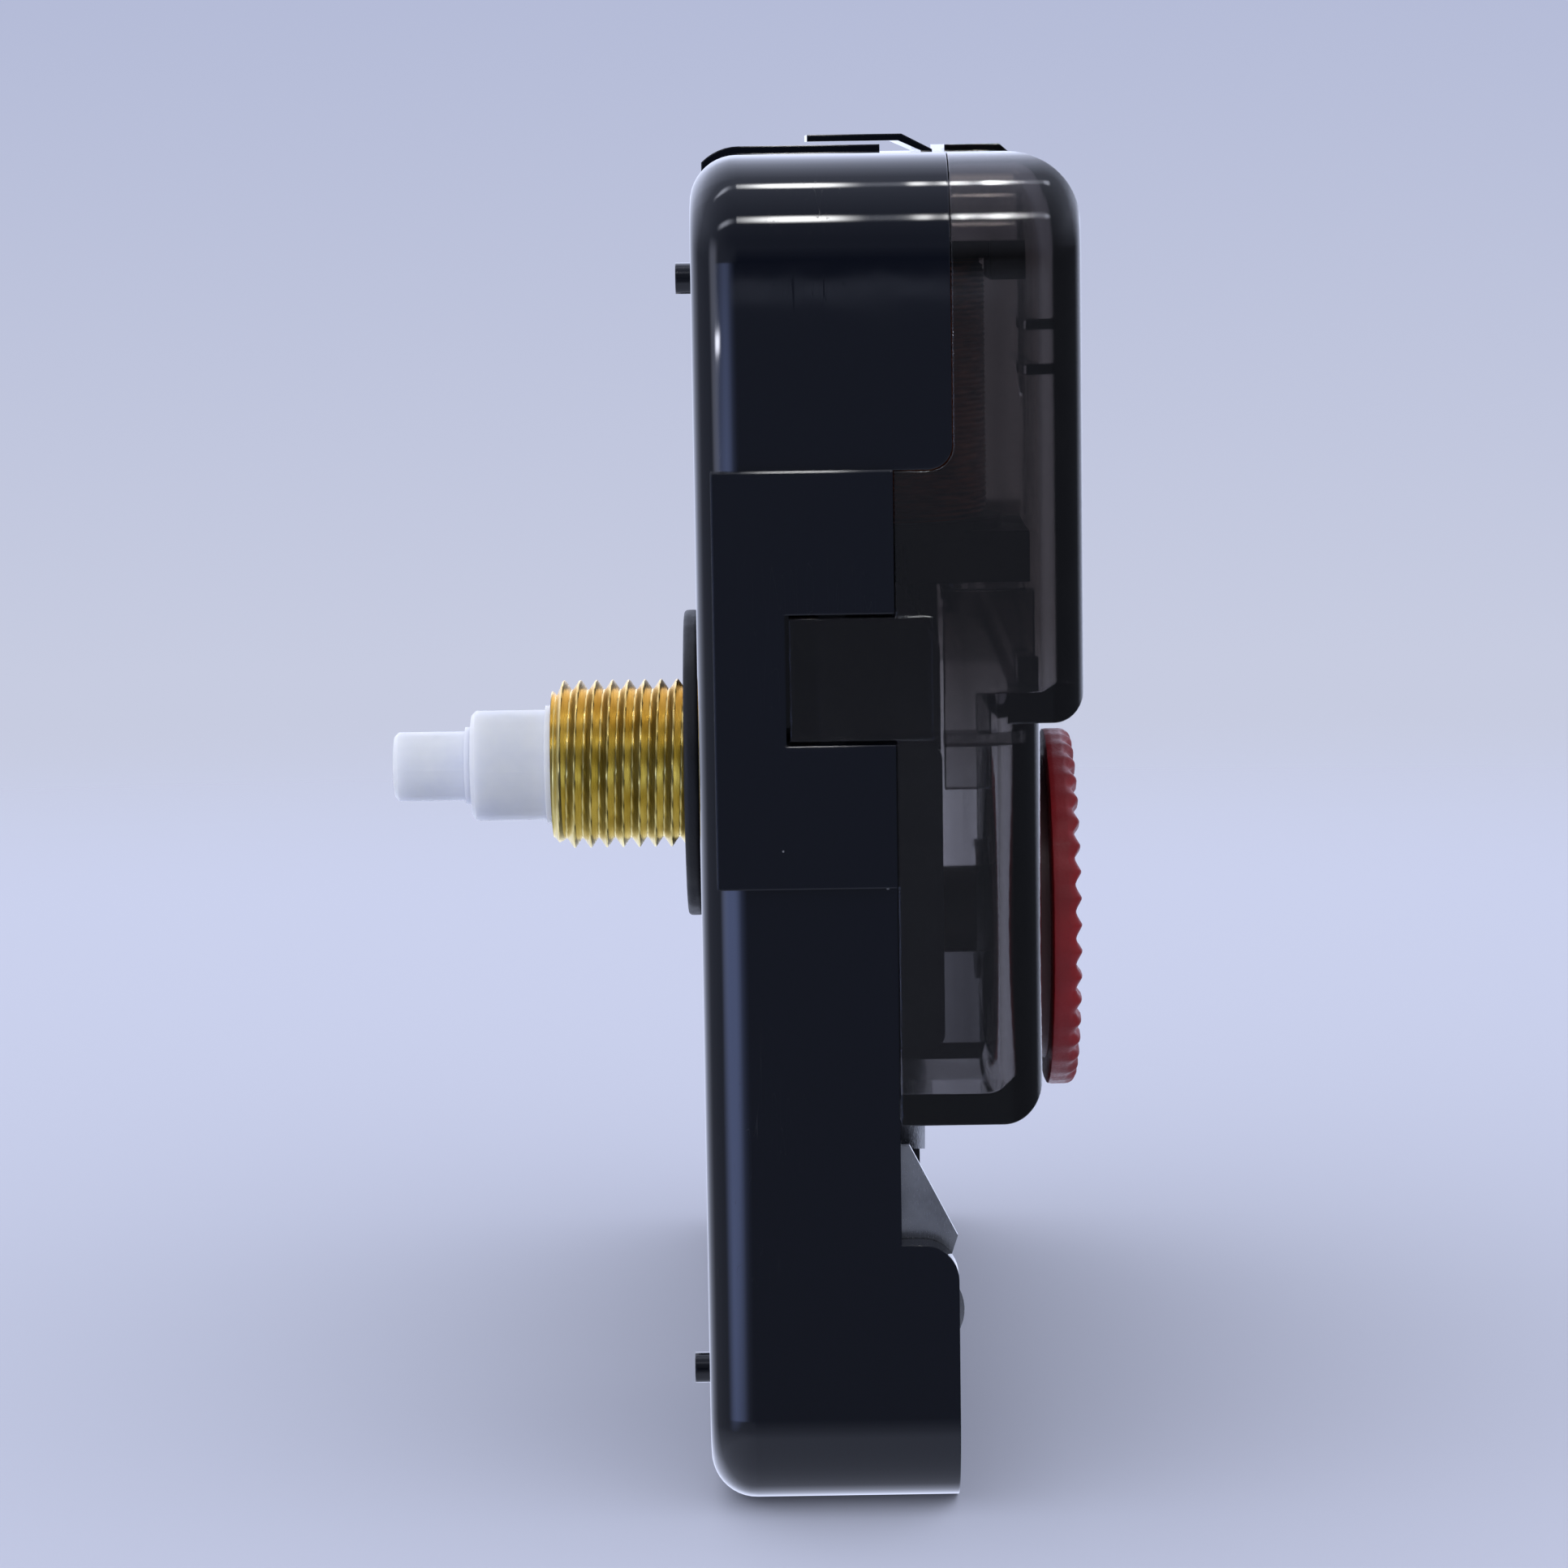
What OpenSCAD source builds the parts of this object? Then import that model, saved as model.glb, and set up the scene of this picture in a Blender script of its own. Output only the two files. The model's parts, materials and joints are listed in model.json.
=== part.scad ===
// Quartz clock movement: a moulded case with a clipped-on smoked cover, a brass threaded bushing,
// a going train from a stepping motor to three coaxial arbors, and a knob that sets the hands.
// +Z is up, the hands point along -Y, and the origin is on the shaft line where the dial seats.
// Inside the modules Y is counted from the front face of the case.

/* [Case] */
// Width of the case
case_w = 56; // [54:0.5:60]
// Height of the case
case_h = 56; // [56:0.5:60]
// Corner radius of the case's square outline
case_corner = 4.25; // [3.5:0.25:5]
// Radius of the edge round the case's front
case_edge = 1.9; // [1:0.1:2.4]
// Thickness of the case's walls
case_wall = 1.2; // [1:0.1:1.4]
// Thickness of the case's floor, behind the dial
case_floor = 1.3; // [1.1:0.1:1.5]
// Depth of the case's rim along the top
rim_top = 10.4; // [9.8:0.1:10.8]
// Depth of the case's rim beside the train
rim_mid = 8; // [7.6:0.1:8.4]
// Depth of the case's rim round the foot of the battery bay
rim_low = 10.35; // [9.8:0.05:10.8]
// Height at which the top rim steps down
rim_top_z = 15.4; // [14:0.2:16]
// Height at which the low rim steps up
rim_low_z = -16.4; // [-18:0.2:-15.6]
// How far the side panels stand out
panel_proud = 0.35; // [0.2:0.05:0.5]
// Height of the side panels' lower edge
panel_z = -1.5; // [-3:0.5:0]
// Radius of the locating pegs on the front
peg_r = 0.65; // [0.5:0.05:0.9]
// How far the locating pegs stand out
peg_h = 0.68; // [0.5:0.02:0.9]
// Distance of the pegs from the shaft line, sideways
peg_x = 22; // [20:0.5:23]
// Distance of the pegs from the shaft line, up and down
peg_z = 23; // [21:0.5:23]

/* [Battery bay] */
// Diameter of the round cell that the bay holds
cell_d = 14.5; // [14:0.1:14.5]
// Clearance round the cell
cell_gap = 0.05; // [0.05:0.01:0.1]
// Radius of the bay's lower corners
bay_corner = 2; // [1.5:0.1:2.5]
// Thickness of the wall between the bay and the train
bay_wall = 1.3; // [1.1:0.1:1.4]
// Thickness of the battery contacts' sheet
contact_t = 0.3; // [0.2:0.05:0.4]
// Clearance beside the battery contacts
contact_gap = 0.05; // [0.03:0.01:0.1]

/* [Cover] */
// Thickness of the cover's walls
cover_wall = 1.15; // [1:0.05:1.3]
// Depth of the cover's rear face over the train
cover_deep = 15.7; // [15.2:0.1:16]
// How far the cover's rear face steps in round the knob
cover_step_in = 1.8; // [1.4:0.05:2]
// Height at which the cover's rear face steps in
cover_step_z = 5.1; // [4.4:0.1:5.6]
// Radius of the cover's top rear edge
cover_top_r = 2.9; // [2:0.1:3.2]
// Radius of the cover's side rear edges
cover_edge = 1.5; // [1:0.1:1.6]
// Height of the latch's middle
latch_z = 7; // [6:0.1:8]
// Width of the latch
latch_w = 5; // [4:0.1:5.4]
// How far forward the latch reaches
latch_y = 3.75; // [3.4:0.05:4]
// Clearance round the latch
latch_gap = 0.16; // [0.1:0.02:0.2]

/* [Bushing and gasket] */
// Radius over the bushing's thread
thread_r = 3.9; // [3.8:0.05:3.9]
// Length of the thread in front of the case
thread_len = 7.25; // [5:0.25:12]
// Radius of the bushing's plain shank behind the thread
shank_r = 4.1; // [4.1:0.05:4.2]
// Radius of the ring that holds the bushing inside the case
ring_r = 5.2; // [4.8:0.1:5.6]
// Radius of the gasket
gasket_r = 7.1; // [6.5:0.1:8]
// Thickness of the gasket
gasket_t = 0.7; // [0.5:0.05:1]
// Height of the ring that the gasket lies on
boss_h = 0.35; // [0.2:0.05:0.5]

/* [Hand arbors] */
// Radius of the hour hand's seat
hour_r = 2.55; // [2.5:0.05:2.6]
// Length of the hour seat in front of the thread
hour_len = 3.75; // [3:0.25:5]
// Radius of the minute hand's seat
minute_r = 1.6; // [1.5:0.05:1.65]
// Length of the minute seat in front of the hour seat
minute_len = 3.6; // [3:0.1:5]
// Radius of the second arbor
second_r = 0.8; // [0.75:0.05:0.85]
// Radius of the second hand's socket
socket_r = 0.45; // [0.35:0.05:0.5]
// Depth of the second hand's socket
socket_depth = 3; // [2:0.5:4]
// Height of the shoulders that the hands are pushed up to
shoulder = 0.2; // [0.2:0.01:0.25]
// Radial clearance between the coaxial arbors
arbor_gap = 0.07; // [0.05:0.01:0.09]

/* [Setting knob] */
// Radius over the knob's teeth
knob_r = 7.65; // [7:0.05:8]
// Thickness of the knob's rim
knob_t = 1.41; // [1.2:0.01:1.8]
// Teeth round the knob
knob_teeth = 41; // [30:1:44]
// Depth of the knob's teeth
knob_tooth = 0.42; // [0.3:0.02:0.6]
// Radius of the hub between the cover and the rim
hub_r = 6.5; // [5.5:0.1:6.8]
// Radius of the knob's stem
stem_r = 1.85; // [1.6:0.05:2]
// Radial clearance of the stem in the cover
stem_gap = 0.09; // [0.05:0.01:0.1]
// Clearance between the stem's wheel and the battery bay's roof
bay_clear = 1.207; // [1:0.001:1.6]

/* [Gear train] */
// Module of the minute works' teeth
mod_minute = 0.29167; // [0.27:0.00001:0.29167]
// Module of the third pinion and the centre wheel
mod_centre = 0.22; // [0.21:0.002:0.222]
// Module of the second wheel and its pinion
mod_second = 0.23; // [0.228:0.001:0.234]
// Module of the rotor pinion and its wheel
mod_rotor = 0.2; // [0.19:0.002:0.2]
// Thickness of the wheels' webs
wheel_t = 0.6; // [0.5:0.05:0.65]
// Radius of the pivots
pivot_r = 0.35; // [0.3:0.05:0.4]
// Radial clearance of the pivots in their bearings
pivot_gap = 0.05; // [0.03:0.01:0.08]
// Direction of the third wheel from the shaft line
third_angle = 150; // [145:1:155]
// Direction of the intermediate wheel from the shaft line
inter_angle = 68; // [64:1:72]
// Direction of the rotor from the intermediate wheel
rotor_angle = 40; // [36:1:44]

/* [Motor] */
// Radius of the coil's winding
coil_r = 4.9; // [4.4:0.1:5]
// Length of the coil's winding
coil_len = 10.6; // [9:0.2:11]
// Distance of the coil's axis from the case's inner side
coil_in = 6.8; // [6.6:0.1:7.2]
// Distance of the coil's middle from the case's inner top
coil_down = 8.5; // [8.2:0.1:8.8]
// Thickness of the coil core's strip
core_t = 0.8; // [0.6:0.05:1]
// Radius of the rotor's magnet
magnet_r = 2.3; // [2:0.05:2.4]
// Gap round the magnet inside the stator
air_gap = 0.45; // [0.35:0.05:0.6]

/* [Circuit] */
// Thickness of the circuit board
board_t = 1; // [0.8:0.1:1.2]
// Width of the circuit board
board_w = 22; // [20:0.5:23]
// Height of the circuit board
board_h = 11.4; // [10:0.2:11.6]

/* [Hidden] */
$fn = 64;

// How far a cutting shape runs past what it cuts
past = 1;
// Running gap between faces that turn past each other
face_gap = 0.1;

half_w = case_w / 2;
half_h = case_h / 2;
in_w = half_w - case_wall;
in_h = half_h - case_wall;
in_corner = case_corner - case_wall;
case_front = boss_h + gasket_t;

// Battery bay
bay_bottom = -in_h;
bay_top = bay_bottom + cell_d + 2 * cell_gap;
bay_roof = bay_top + bay_wall;
cell_z = bay_bottom + cell_d / 2 + cell_gap;
cell_y = case_floor + cell_gap + cell_d / 2;
cover_z = bay_roof - 0.5;
cover_shallow = cover_deep - cover_step_in;
rim_low_r = 1.5;
screen_z = cover_z + cover_wall + face_gap;
screen_t = 0.7;
screen_w = 40;
lip_t = 0.85;
lip_h = 1.9;
lip_in = 0.6;
rim_top_r = 1;

// Places of the arbors, as [x, z]
function polar(r, a) = [r * cos(a), r * sin(a)];
function pitch_r(teeth, m) = m * teeth / 2;
teeth_cannon = 12;
teeth_reverse = 36;
teeth_hour = 40;
teeth_reverse_pinion = 10;
teeth_centre = 64;
teeth_third_pinion = 8;
teeth_third = 60;
teeth_second_pinion = 8;
teeth_second = 60;
teeth_inter_pinion = 10;
teeth_inter = 60;
teeth_rotor = 12;
wheel_over = 0.85;
reverse_dist = mod_minute * (teeth_cannon + teeth_reverse) / 2;
third_dist = mod_centre * (teeth_centre + teeth_third_pinion) / 2;
inter_dist = mod_second * (teeth_second + teeth_inter_pinion) / 2;
rotor_dist = mod_rotor * (teeth_inter + teeth_rotor) / 2;
knob_dist = reverse_dist + 2 * pitch_r(teeth_reverse, mod_minute);
stem_wheel_r = pitch_r(teeth_reverse, mod_minute) + wheel_over * mod_minute;
knob_angle = asin(-(bay_roof + bay_clear + stem_wheel_r) / knob_dist);
mod_hour = 2 * reverse_dist / (teeth_hour + teeth_reverse_pinion);
mod_third = 2 * third_dist / (teeth_third + teeth_second_pinion);
at_shaft = [0, 0];
at_reverse = polar(reverse_dist, -knob_angle);
at_knob = polar(knob_dist, -knob_angle);
at_third = polar(third_dist, third_angle);
at_inter = polar(inter_dist, inter_angle);
at_rotor = at_inter + polar(rotor_dist, rotor_angle);

// Levels along the arbors, counted from the front of the case
ring_t = 0.5;
y_hour = case_floor + ring_t + face_gap;
hour_t = 0.8;
y_reverse = y_hour + hour_t + 0.15;
reverse_t = 0.8;
y_cannon = y_hour + hour_t + face_gap;
cannon_t = y_reverse + reverse_t + 0.05 - y_cannon;
y_clutch = y_cannon + cannon_t;
clutch_t = 0.12;
clutch_rise = 0.55;
y_centre = y_clutch + clutch_t + clutch_rise + 0.03;
y_third = y_centre + wheel_t + 0.8;
y_second = y_third + wheel_t + 0.7;
y_inter = y_second + wheel_t + 0.5;
pinion_over = 0.2;
y_bridge = y_inter + wheel_t + 0.6;
bridge_t = 0.8;
magnet_t = 2.4;
y_magnet = y_inter - 0.6 - magnet_t;
bearing_in = 0.6;
hour_tip = -thread_len - hour_len;
minute_tip = hour_tip - minute_len;

// Motor
coil_x = in_w - coil_in;
coil_z = in_h - coil_down;
core_w = 2.8;
flange_thick = 0.8;
flange_over = 0.6;
stator_t = 0.8;
y_stator = y_magnet + (magnet_t - stator_t) / 2;
y_core = y_stator + stator_t;
coil_y = y_core + core_t / 2;
core_end = 2.3;
bobbin_half = coil_len / 2 + flange_thick;
stator_in = magnet_r + air_gap;
stator_ring = 1.9;
core_pin_z = bobbin_half + core_end - 1;
core_pin_r = 0.5;
pin_gap = 0.05;

// Bridge posts, as [x, z]
post_r = 1.4;
post_pin_r = 0.6;
post_out = 3.2;
bridge_land = 2.4;
posts = [
    at_third + polar(10, 135),
    [at_third[0] - post_out, screen_z + screen_t + bridge_land + face_gap],
    at_shaft + polar(14.4, 20),
    at_rotor + polar(7.4, 108)
];

// Circuit
board_x = -in_w + 0.6;
board_top = in_h - 0.8;
board_y = 5;
board_pins = [[board_x + 2, board_top - 2.4], [board_x + board_w - 2, board_top - 2.4]];

// A flat outline in X and Z, from depth y0 back to y1
module slab(y0, y1) {
    translate([0, y1, 0]) rotate([90, 0, 0]) linear_extrude(y1 - y0) children();
}

// A half outline in radius and Y, turned about the Y axis
module turned() {
    rotate([-90, 0, 0]) rotate_extrude() children();
}

// A side outline in Y and Z, carried from x0 to x1
module carried(x0, x1) {
    translate([x0, 0, 0]) rotate([90, 0, 90]) linear_extrude(x1 - x0) children();
}

// Moves a shape to an arbor's place
module at(p) {
    translate([p[0], 0, p[1]]) children();
}

// Sets a shape that is measured from the front of the case into the part's own frame
module placed() {
    translate([0, case_front, 0]) children();
}

// The waste outside a rounded corner whose point is at the origin, open towards the first quadrant
module corner_waste(r) {
    difference() {
        translate([-past, -past]) square(r + past);
        translate([r, r]) circle(r);
        translate([r, -2 * past]) square(r + past);
        translate([-2 * past, r]) square(r + past);
    }
}

// A rectangle from a to b whose corners are rounded: low left, low right, high right, high left
module plate(a, b, radii) {
    corners = [[a[0], a[1], 1, 1], [b[0], a[1], -1, 1], [b[0], b[1], -1, -1], [a[0], b[1], 1, -1]];
    difference() {
        translate(a) square(b - a);
        for (i = [0:3])
            if (radii[i] > 0)
                translate([corners[i][0], corners[i][1]])
                    scale([corners[i][2], corners[i][3]]) corner_waste(radii[i]);
    }
}

// A block with rounded upright corners, whose far face at depth y1 has a rounded edge all round
module soft_block(w, h, corner, edge, y0, y1) {
    for (s = [-1, 1]) {
        for (t = [-1, 1])
            at([s * (w / 2 - corner), t * (h / 2 - corner)]) turned() intersection() {
                plate([-corner, y0], [corner, y1], [0, 0, edge, 0]);
                translate([0, y0]) square([corner, y1 - y0]);
            }
    }
    translate([0, 0, corner - h / 2]) linear_extrude(h - 2 * corner)
        plate([-w / 2, y0], [w / 2, y1], [0, 0, edge, edge]);
    carried(corner - w / 2, w / 2 - corner) plate([y0, -h / 2], [y1, h / 2], [0, edge, edge, 0]);
}

// A round post with a thinner pin on its end
module post(r, y0, y1, pin_r, y2) {
    slab(y0, y1) circle(r);
    slab(y0, y2) circle(pin_r);
}

// Half of a tooth's angle at radius p, for an involute tooth that is cut radially below its base
function inv_angle(c) = tan(acos(c)) * 180 / PI - acos(c);
function tooth_half(p, r, half) =
    let (base = r * cos(20), c = min(1, base / p))
    half + inv_angle(cos(20)) - inv_angle(c);

// Outline of a gear: teeth, module, tooth heights over and under the pitch line as shares of the
// module, the tooth's share of the pitch, and the radii at which each flank has a point
module gear(teeth, m, over, under, share, flank, turn) {
    r = m * teeth / 2;
    half = 90 * 2 * share / teeth;
    radii = [for (f = flank) r + m * (f < 0 ? f * under : f * over)];
    points = [
        for (i = [0:teeth - 1])
            let (mid = turn + 360 * i / teeth)
            for (k = [0:2 * len(radii) - 1])
                let (
                    up = k < len(radii),
                    p = up ? radii[k] : radii[2 * len(radii) - 1 - k],
                    a = tooth_half(p, r, half)
                )
                polar(p, mid + (up ? -a : a))
    ];
    polygon(points);
}

// A wheel has straight flanks, and a pinion has curved ones
module wheel_outline(teeth, m, turn = 0) {
    gear(teeth, m, wheel_over, 1.15, 0.45, [-1, 1], turn);
}

module pinion_outline(teeth, m, turn = 0) {
    gear(teeth, m, 0.75, 1.2, 0.4, [-1, -0.2, 0.3, 1], turn);
}

// Spokes are left between round windows in a wheel's web
window_r = 1.1;
window_at = 0.62;
module windows(count, r, size) {
    for (i = [0:count - 1])
        rotate(360 * (i + 0.5) / count) translate([r, 0]) circle(size);
}

// Turn that puts a tooth of the driven gear in a gap of its mate, for mates on the line at angle a
function gap_turn(teeth, a) = a + 180 / teeth;

module case_shell() {
    intersection() {
        rotate([0, 0, 180]) soft_block(case_w, case_h, case_corner, case_edge, -rim_top, 0);
        carried(-case_w, case_w) {
            plate([-past, -half_h - past], [rim_low, rim_low_z], [0, 0, rim_low_r, 0]);
            translate([-past, -half_h]) square([rim_mid + past, case_h]);
            plate([-past, rim_top_z], [rim_top, half_h + past], [0, rim_top_r, 0, 0]);
        }
    }
}

module case_cavity() {
    slab(case_floor, rim_top + past) {
        plate([-in_w, bay_roof], [in_w, in_h], [0, 0, in_corner, in_corner]);
        plate([-in_w, bay_bottom], [in_w, bay_top], [bay_corner, bay_corner, 0, 0]);
    }
}

// Two copies of a shape, the second mirrored to the other side
module both_sides() {
    children();
    mirror([1, 0, 0]) children();
}

panel_y = 0.7;
module side_panels() {
    both_sides() carried(half_w - case_wall / 2, half_w + panel_proud)
        translate([panel_y, panel_z]) square([rim_mid - panel_y, rim_top_z - panel_z]);
}

// Notches in the side walls, in which the cover's latches sit
module latch_notches() {
    both_sides() carried(in_w - past, half_w + past)
        translate([latch_y - latch_gap, latch_z - latch_w / 2 - latch_gap])
            square([rim_mid, latch_w + 2 * latch_gap]);
}

catch_y = latch_y + 1.2;
catch_t = 1.1;
catch_in = 1;
// Bars across the notches, which the latches hook over
module latch_catches() {
    both_sides() carried(in_w - catch_in, in_w)
        translate([catch_y, latch_z - latch_w / 2 - catch_in])
            square([catch_t, latch_w + 2 * catch_in]);
}

hanger_w = 16;
hanger_y = 4.9;
hanger_t = 0.3;
hanger_top = half_h + 0.8;
hanger_root = 0.5;
top_panel_w = 24;
top_panel_y = 0.3;
// A tab that leans forward from the top's rim over a raised panel, to hang the movement by
module hanger() {
    bend = rim_top - 1.35;
    low = hanger_top - hanger_t;
    carried(-hanger_w / 2, hanger_w / 2)
        polygon([
            [hanger_y, low], [hanger_y, hanger_top], [bend, hanger_top], [rim_top, half_h + 0.1],
            [rim_top, half_h - case_wall / 2], [rim_top - hanger_root, half_h - case_wall / 2],
            [rim_top - hanger_root, half_h + 0.05], [bend - 0.15, low]
        ]);
    r = case_edge + panel_proud;
    carried(-top_panel_w / 2, top_panel_w / 2) intersection() {
        plate([case_edge - r, half_h - case_edge], [rim_mid, half_h + panel_proud], [0, 0, 0, r]);
        translate([top_panel_y, 0]) square([rim_mid, case_h]);
    }
}

// Bearing boss on the floor for an arbor's front pivot
boss_r = 1.1;
boss_y = case_floor + 0.9;
module front_bosses() {
    for (p = [at_third, at_inter, at_rotor])
        at(p) slab(case_floor - 0.5, boss_y) circle(boss_r);
    at(at_knob) slab(case_floor - 0.5, case_floor + 0.5) circle(2.2);
}

module front_bearings() {
    for (p = [at_third, at_inter, at_rotor])
        at(p) slab(boss_y - 1.2, boss_y + past) circle(pivot_r + pivot_gap);
    at(at_knob) slab(case_floor - 0.5, case_floor + past) circle(stem_pin_r + pivot_gap);
}

reverse_post_r = 0.6;
module case_posts() {
    for (p = posts)
        at(p) post(post_r, case_floor - 0.5, y_bridge, post_pin_r, y_bridge + bridge_t);
    at(at_reverse) slab(case_floor - 0.5, y_reverse + reverse_t + 0.4) circle(reverse_post_r);
    for (t = [-1, 1])
        at([coil_x, coil_z + t * core_pin_z])
            post(0.9, case_floor - 0.5, y_stator, core_pin_r, y_core + core_t + 0.3);
    for (p = board_pins)
        at(p) post(1, case_floor - 0.5, board_y, post_pin_r, board_y + board_t + 0.3);
}

// Lips inside the side walls, which the cover's rim fits over
module side_lips() {
    z0 = screen_z + 1.8;
    z1 = latch_z - latch_w / 2 - 2 * latch_gap;
    both_sides() {
        carried(in_w - face_gap / 2 - lip_t, in_w - face_gap / 2)
            plate([rim_mid - lip_in, z0], [rim_mid + lip_h, z1], [0, lip_in, lip_in, 0]);
        carried(in_w - lip_t, in_w + lip_in)
            translate([rim_mid - lip_in, z0]) square([lip_in, z1 - z0]);
    }
}

// Screen across the bay's roof, which keeps the train's oil and dust from the cell
module bay_screen() {
    y0 = rim_mid - lip_in;
    y1 = cover_shallow - cover_wall - face_gap;
    carried(-screen_w / 2, screen_w / 2) {
        translate([y0, bay_roof - lip_in])
            square([lip_in - rim_gap, screen_z + screen_t - bay_roof + lip_in]);
        polygon([
            [y0, screen_z], [y1 - screen_t, screen_z], [y1, screen_z + screen_t],
            [y0, screen_z + screen_t]
        ]);
    }
}

// Walls that close off the latches' notches from the train
guard_t = 0.7;
guard_in = 1.5;
module latch_guards() {
    z0 = latch_z - latch_w / 2 - guard_in;
    z1 = latch_z + latch_w / 2 + guard_in;
    both_sides() carried(in_w - guard_in - guard_t, in_w - guard_in)
        polygon([
            [case_floor / 2, z0], [case_floor / 2, z1], [rim_mid, z1],
            [rim_mid + lip_h, z1 - 2 * guard_in], [rim_mid + lip_h, z0]
        ]);
}

// Pegs on the front, above the shaft line or below it
module pegs(side) {
    both_sides() at([peg_x, side * peg_z]) slab(-peg_h, case_floor / 2) circle(peg_r);
}

// The case's walls and floor between two heights
module case_between(z0, z1) {
    intersection() {
        difference() {
            union() {
                case_shell();
                side_panels();
                slab(-boss_h, case_floor / 2) circle(gasket_r - 0.6);
                hanger();
            }
            case_cavity();
            latch_notches();
            neck_slots();
        }
        translate([-case_w, -case_w, z0]) cube([2 * case_w, 2 * case_w, z1 - z0]);
    }
}

// The case above the battery bay's roof
module front_case() {
    color("#14171d") placed() difference() {
        union() {
            case_between(bay_roof, half_h + past);
            latch_catches();
            front_bosses();
            case_posts();
            side_lips();
            latch_guards();
            pegs(1);
        }
        slab(-boss_h - past, case_floor + past) circle(shank_r + bushing_gap);
        front_bearings();
    }
}

// The same moulding's lower end, which holds the cell
module battery_bay() {
    color("#191c22") placed() {
        case_between(-half_h - past, bay_roof);
        bay_screen();
        pegs(-1);
    }
}

// Cover
rim_gap = 0.05;
step_r = 1.3;
foot_r = 1.7;
// The cover's outside at grow 0, or its inside at grow cover_wall, from depth y0 back
module cover_solid(grow, y0) {
    deep = cover_deep - grow;
    shallow = cover_shallow - grow;
    intersection() {
        soft_block(
            case_w - 2 * grow, case_h - 2 * grow, case_corner - grow, cover_edge, y0, deep
        );
        carried(-case_w, case_w)
            plate([y0 - past, cover_step_z + grow], [deep, half_h + past], [0, step_r - grow / 2, 0, 0]);
        carried(-case_w, case_w)
            plate([y0 - past, 0], [deep, half_h - grow], [0, 0, cover_top_r - grow, 0]);
    }
    intersection() {
        translate([0, 0, cover_z + grow]) linear_extrude(cover_step_z + 3 - cover_z)
            plate([grow - half_w, y0], [half_w - grow, shallow], [0, 0, cover_edge, cover_edge]);
        carried(-case_w, case_w)
            plate([y0 - past, cover_z + grow], [shallow, half_h], [0, foot_r - grow / 2, 0, 0]);
    }
}

// Everything in front of the case's rim, which the cover leaves to it
module rim_space() {
    carried(-case_w, case_w) {
        translate([-past, -half_h]) square([rim_mid + rim_gap + past, case_h + 2 * past]);
        plate([-past, rim_top_z - rim_gap], [rim_top + rim_gap, half_h + past], [0, rim_top_r, 0, 0]);
    }
}

// Tongues that pass outside the catch bars and hook in front of them
module cover_latches() {
    both_sides() translate([0, 0, latch_z - latch_w / 2]) {
        carried(in_w + rim_gap, half_w + panel_proud / 2)
            translate([latch_y, 0]) square([rim_mid + 1.5 - latch_y, latch_w]);
        carried(in_w - catch_in, in_w + 2 * rim_gap)
            translate([latch_y, 0]) square([catch_y - rim_gap - latch_y, latch_w]);
    }
}

// A rib that stiffens the step, a raised strip along the top, and the boss round the knob's stem
rib_t = 0.9;
rib_h = 2.6;
strip_w = 18;
strip_y = rim_top + 0.5;
strip_len = cover_deep - 1.4 - strip_y;
strip_proud = 0.3;
stem_boss_r = 3;
stem_boss_h = 1.2;
// Webs that carry the step on both sides, inside the side walls
web_t = 1;
web_in = 3.6;
web_drop = 3.1;
module step_webs() {
    y0 = rim_mid + lip_h + 2 * face_gap;
    z0 = cover_step_z - web_drop;
    web_top = coil_z - bobbin_half - anchor_h - 3 * face_gap;
    both_sides() carried(half_w - web_in - web_t, half_w - web_in)
        polygon([
            [y0, z0], [cover_shallow - cover_wall / 2, z0],
            [cover_shallow - cover_wall / 2, cover_step_z + cover_wall / 2],
            [cover_deep - cover_wall / 2, cover_step_z + cover_wall / 2],
            [cover_deep - cover_wall / 2, web_top], [y0, web_top]
        ]);
}

// Short ribs on the rear wall, which keep the coil down
coil_rib_t = 0.4;
coil_rib_h = 1.3;
module coil_ribs() {
    for (z = [0.8, 2.6])
        translate([coil_x - coil_r, cover_deep - cover_wall - coil_rib_h, coil_z + z])
            cube([in_w - coil_x + coil_r, coil_rib_h + cover_wall / 2, coil_rib_t]);
}

side_rib_in = 1.4;
side_rib_t = 0.5;
module side_ribs() {
    y0 = rim_mid + lip_h + face_gap;
    both_sides() translate([half_w - cover_wall - side_rib_in, y0, cover_step_z - 2 * side_rib_t])
        cube([side_rib_in + cover_wall / 2, cover_shallow - cover_wall / 2 - y0, side_rib_t]);
}

module rear_cover() {
    color([0.36, 0.33, 0.33, 0.45]) placed() difference() {
        union() {
            difference() {
                cover_solid(0, rim_mid);
                cover_solid(cover_wall, rim_mid - past);
                rim_space();
            }
            cover_latches();
            at(at_knob)
                slab(cover_shallow - cover_wall - stem_boss_h, cover_shallow - cover_wall / 2)
                    circle(stem_boss_r);
            carried(-strip_w / 2, strip_w / 2)
                polygon([
                    [strip_y, half_h - strip_proud], [strip_y, half_h + strip_proud],
                    [strip_y + strip_len - 1, half_h + strip_proud],
                    [strip_y + strip_len, half_h - cover_wall / 2], [strip_y + 1, half_h - cover_wall / 2]
                ]);
            translate([cover_edge - half_w, cover_shallow - rib_t, cover_step_z])
                cube([case_w - 2 * cover_edge, rib_t, rib_h]);
            side_ribs();
            step_webs();
            coil_ribs();
        }
        at(at_knob) slab(rim_mid, cover_deep) circle(stem_r + stem_gap);
    }
}

// Bushing and gasket
bushing_gap = 0.02;
thread_chamfer = 0.5;
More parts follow.
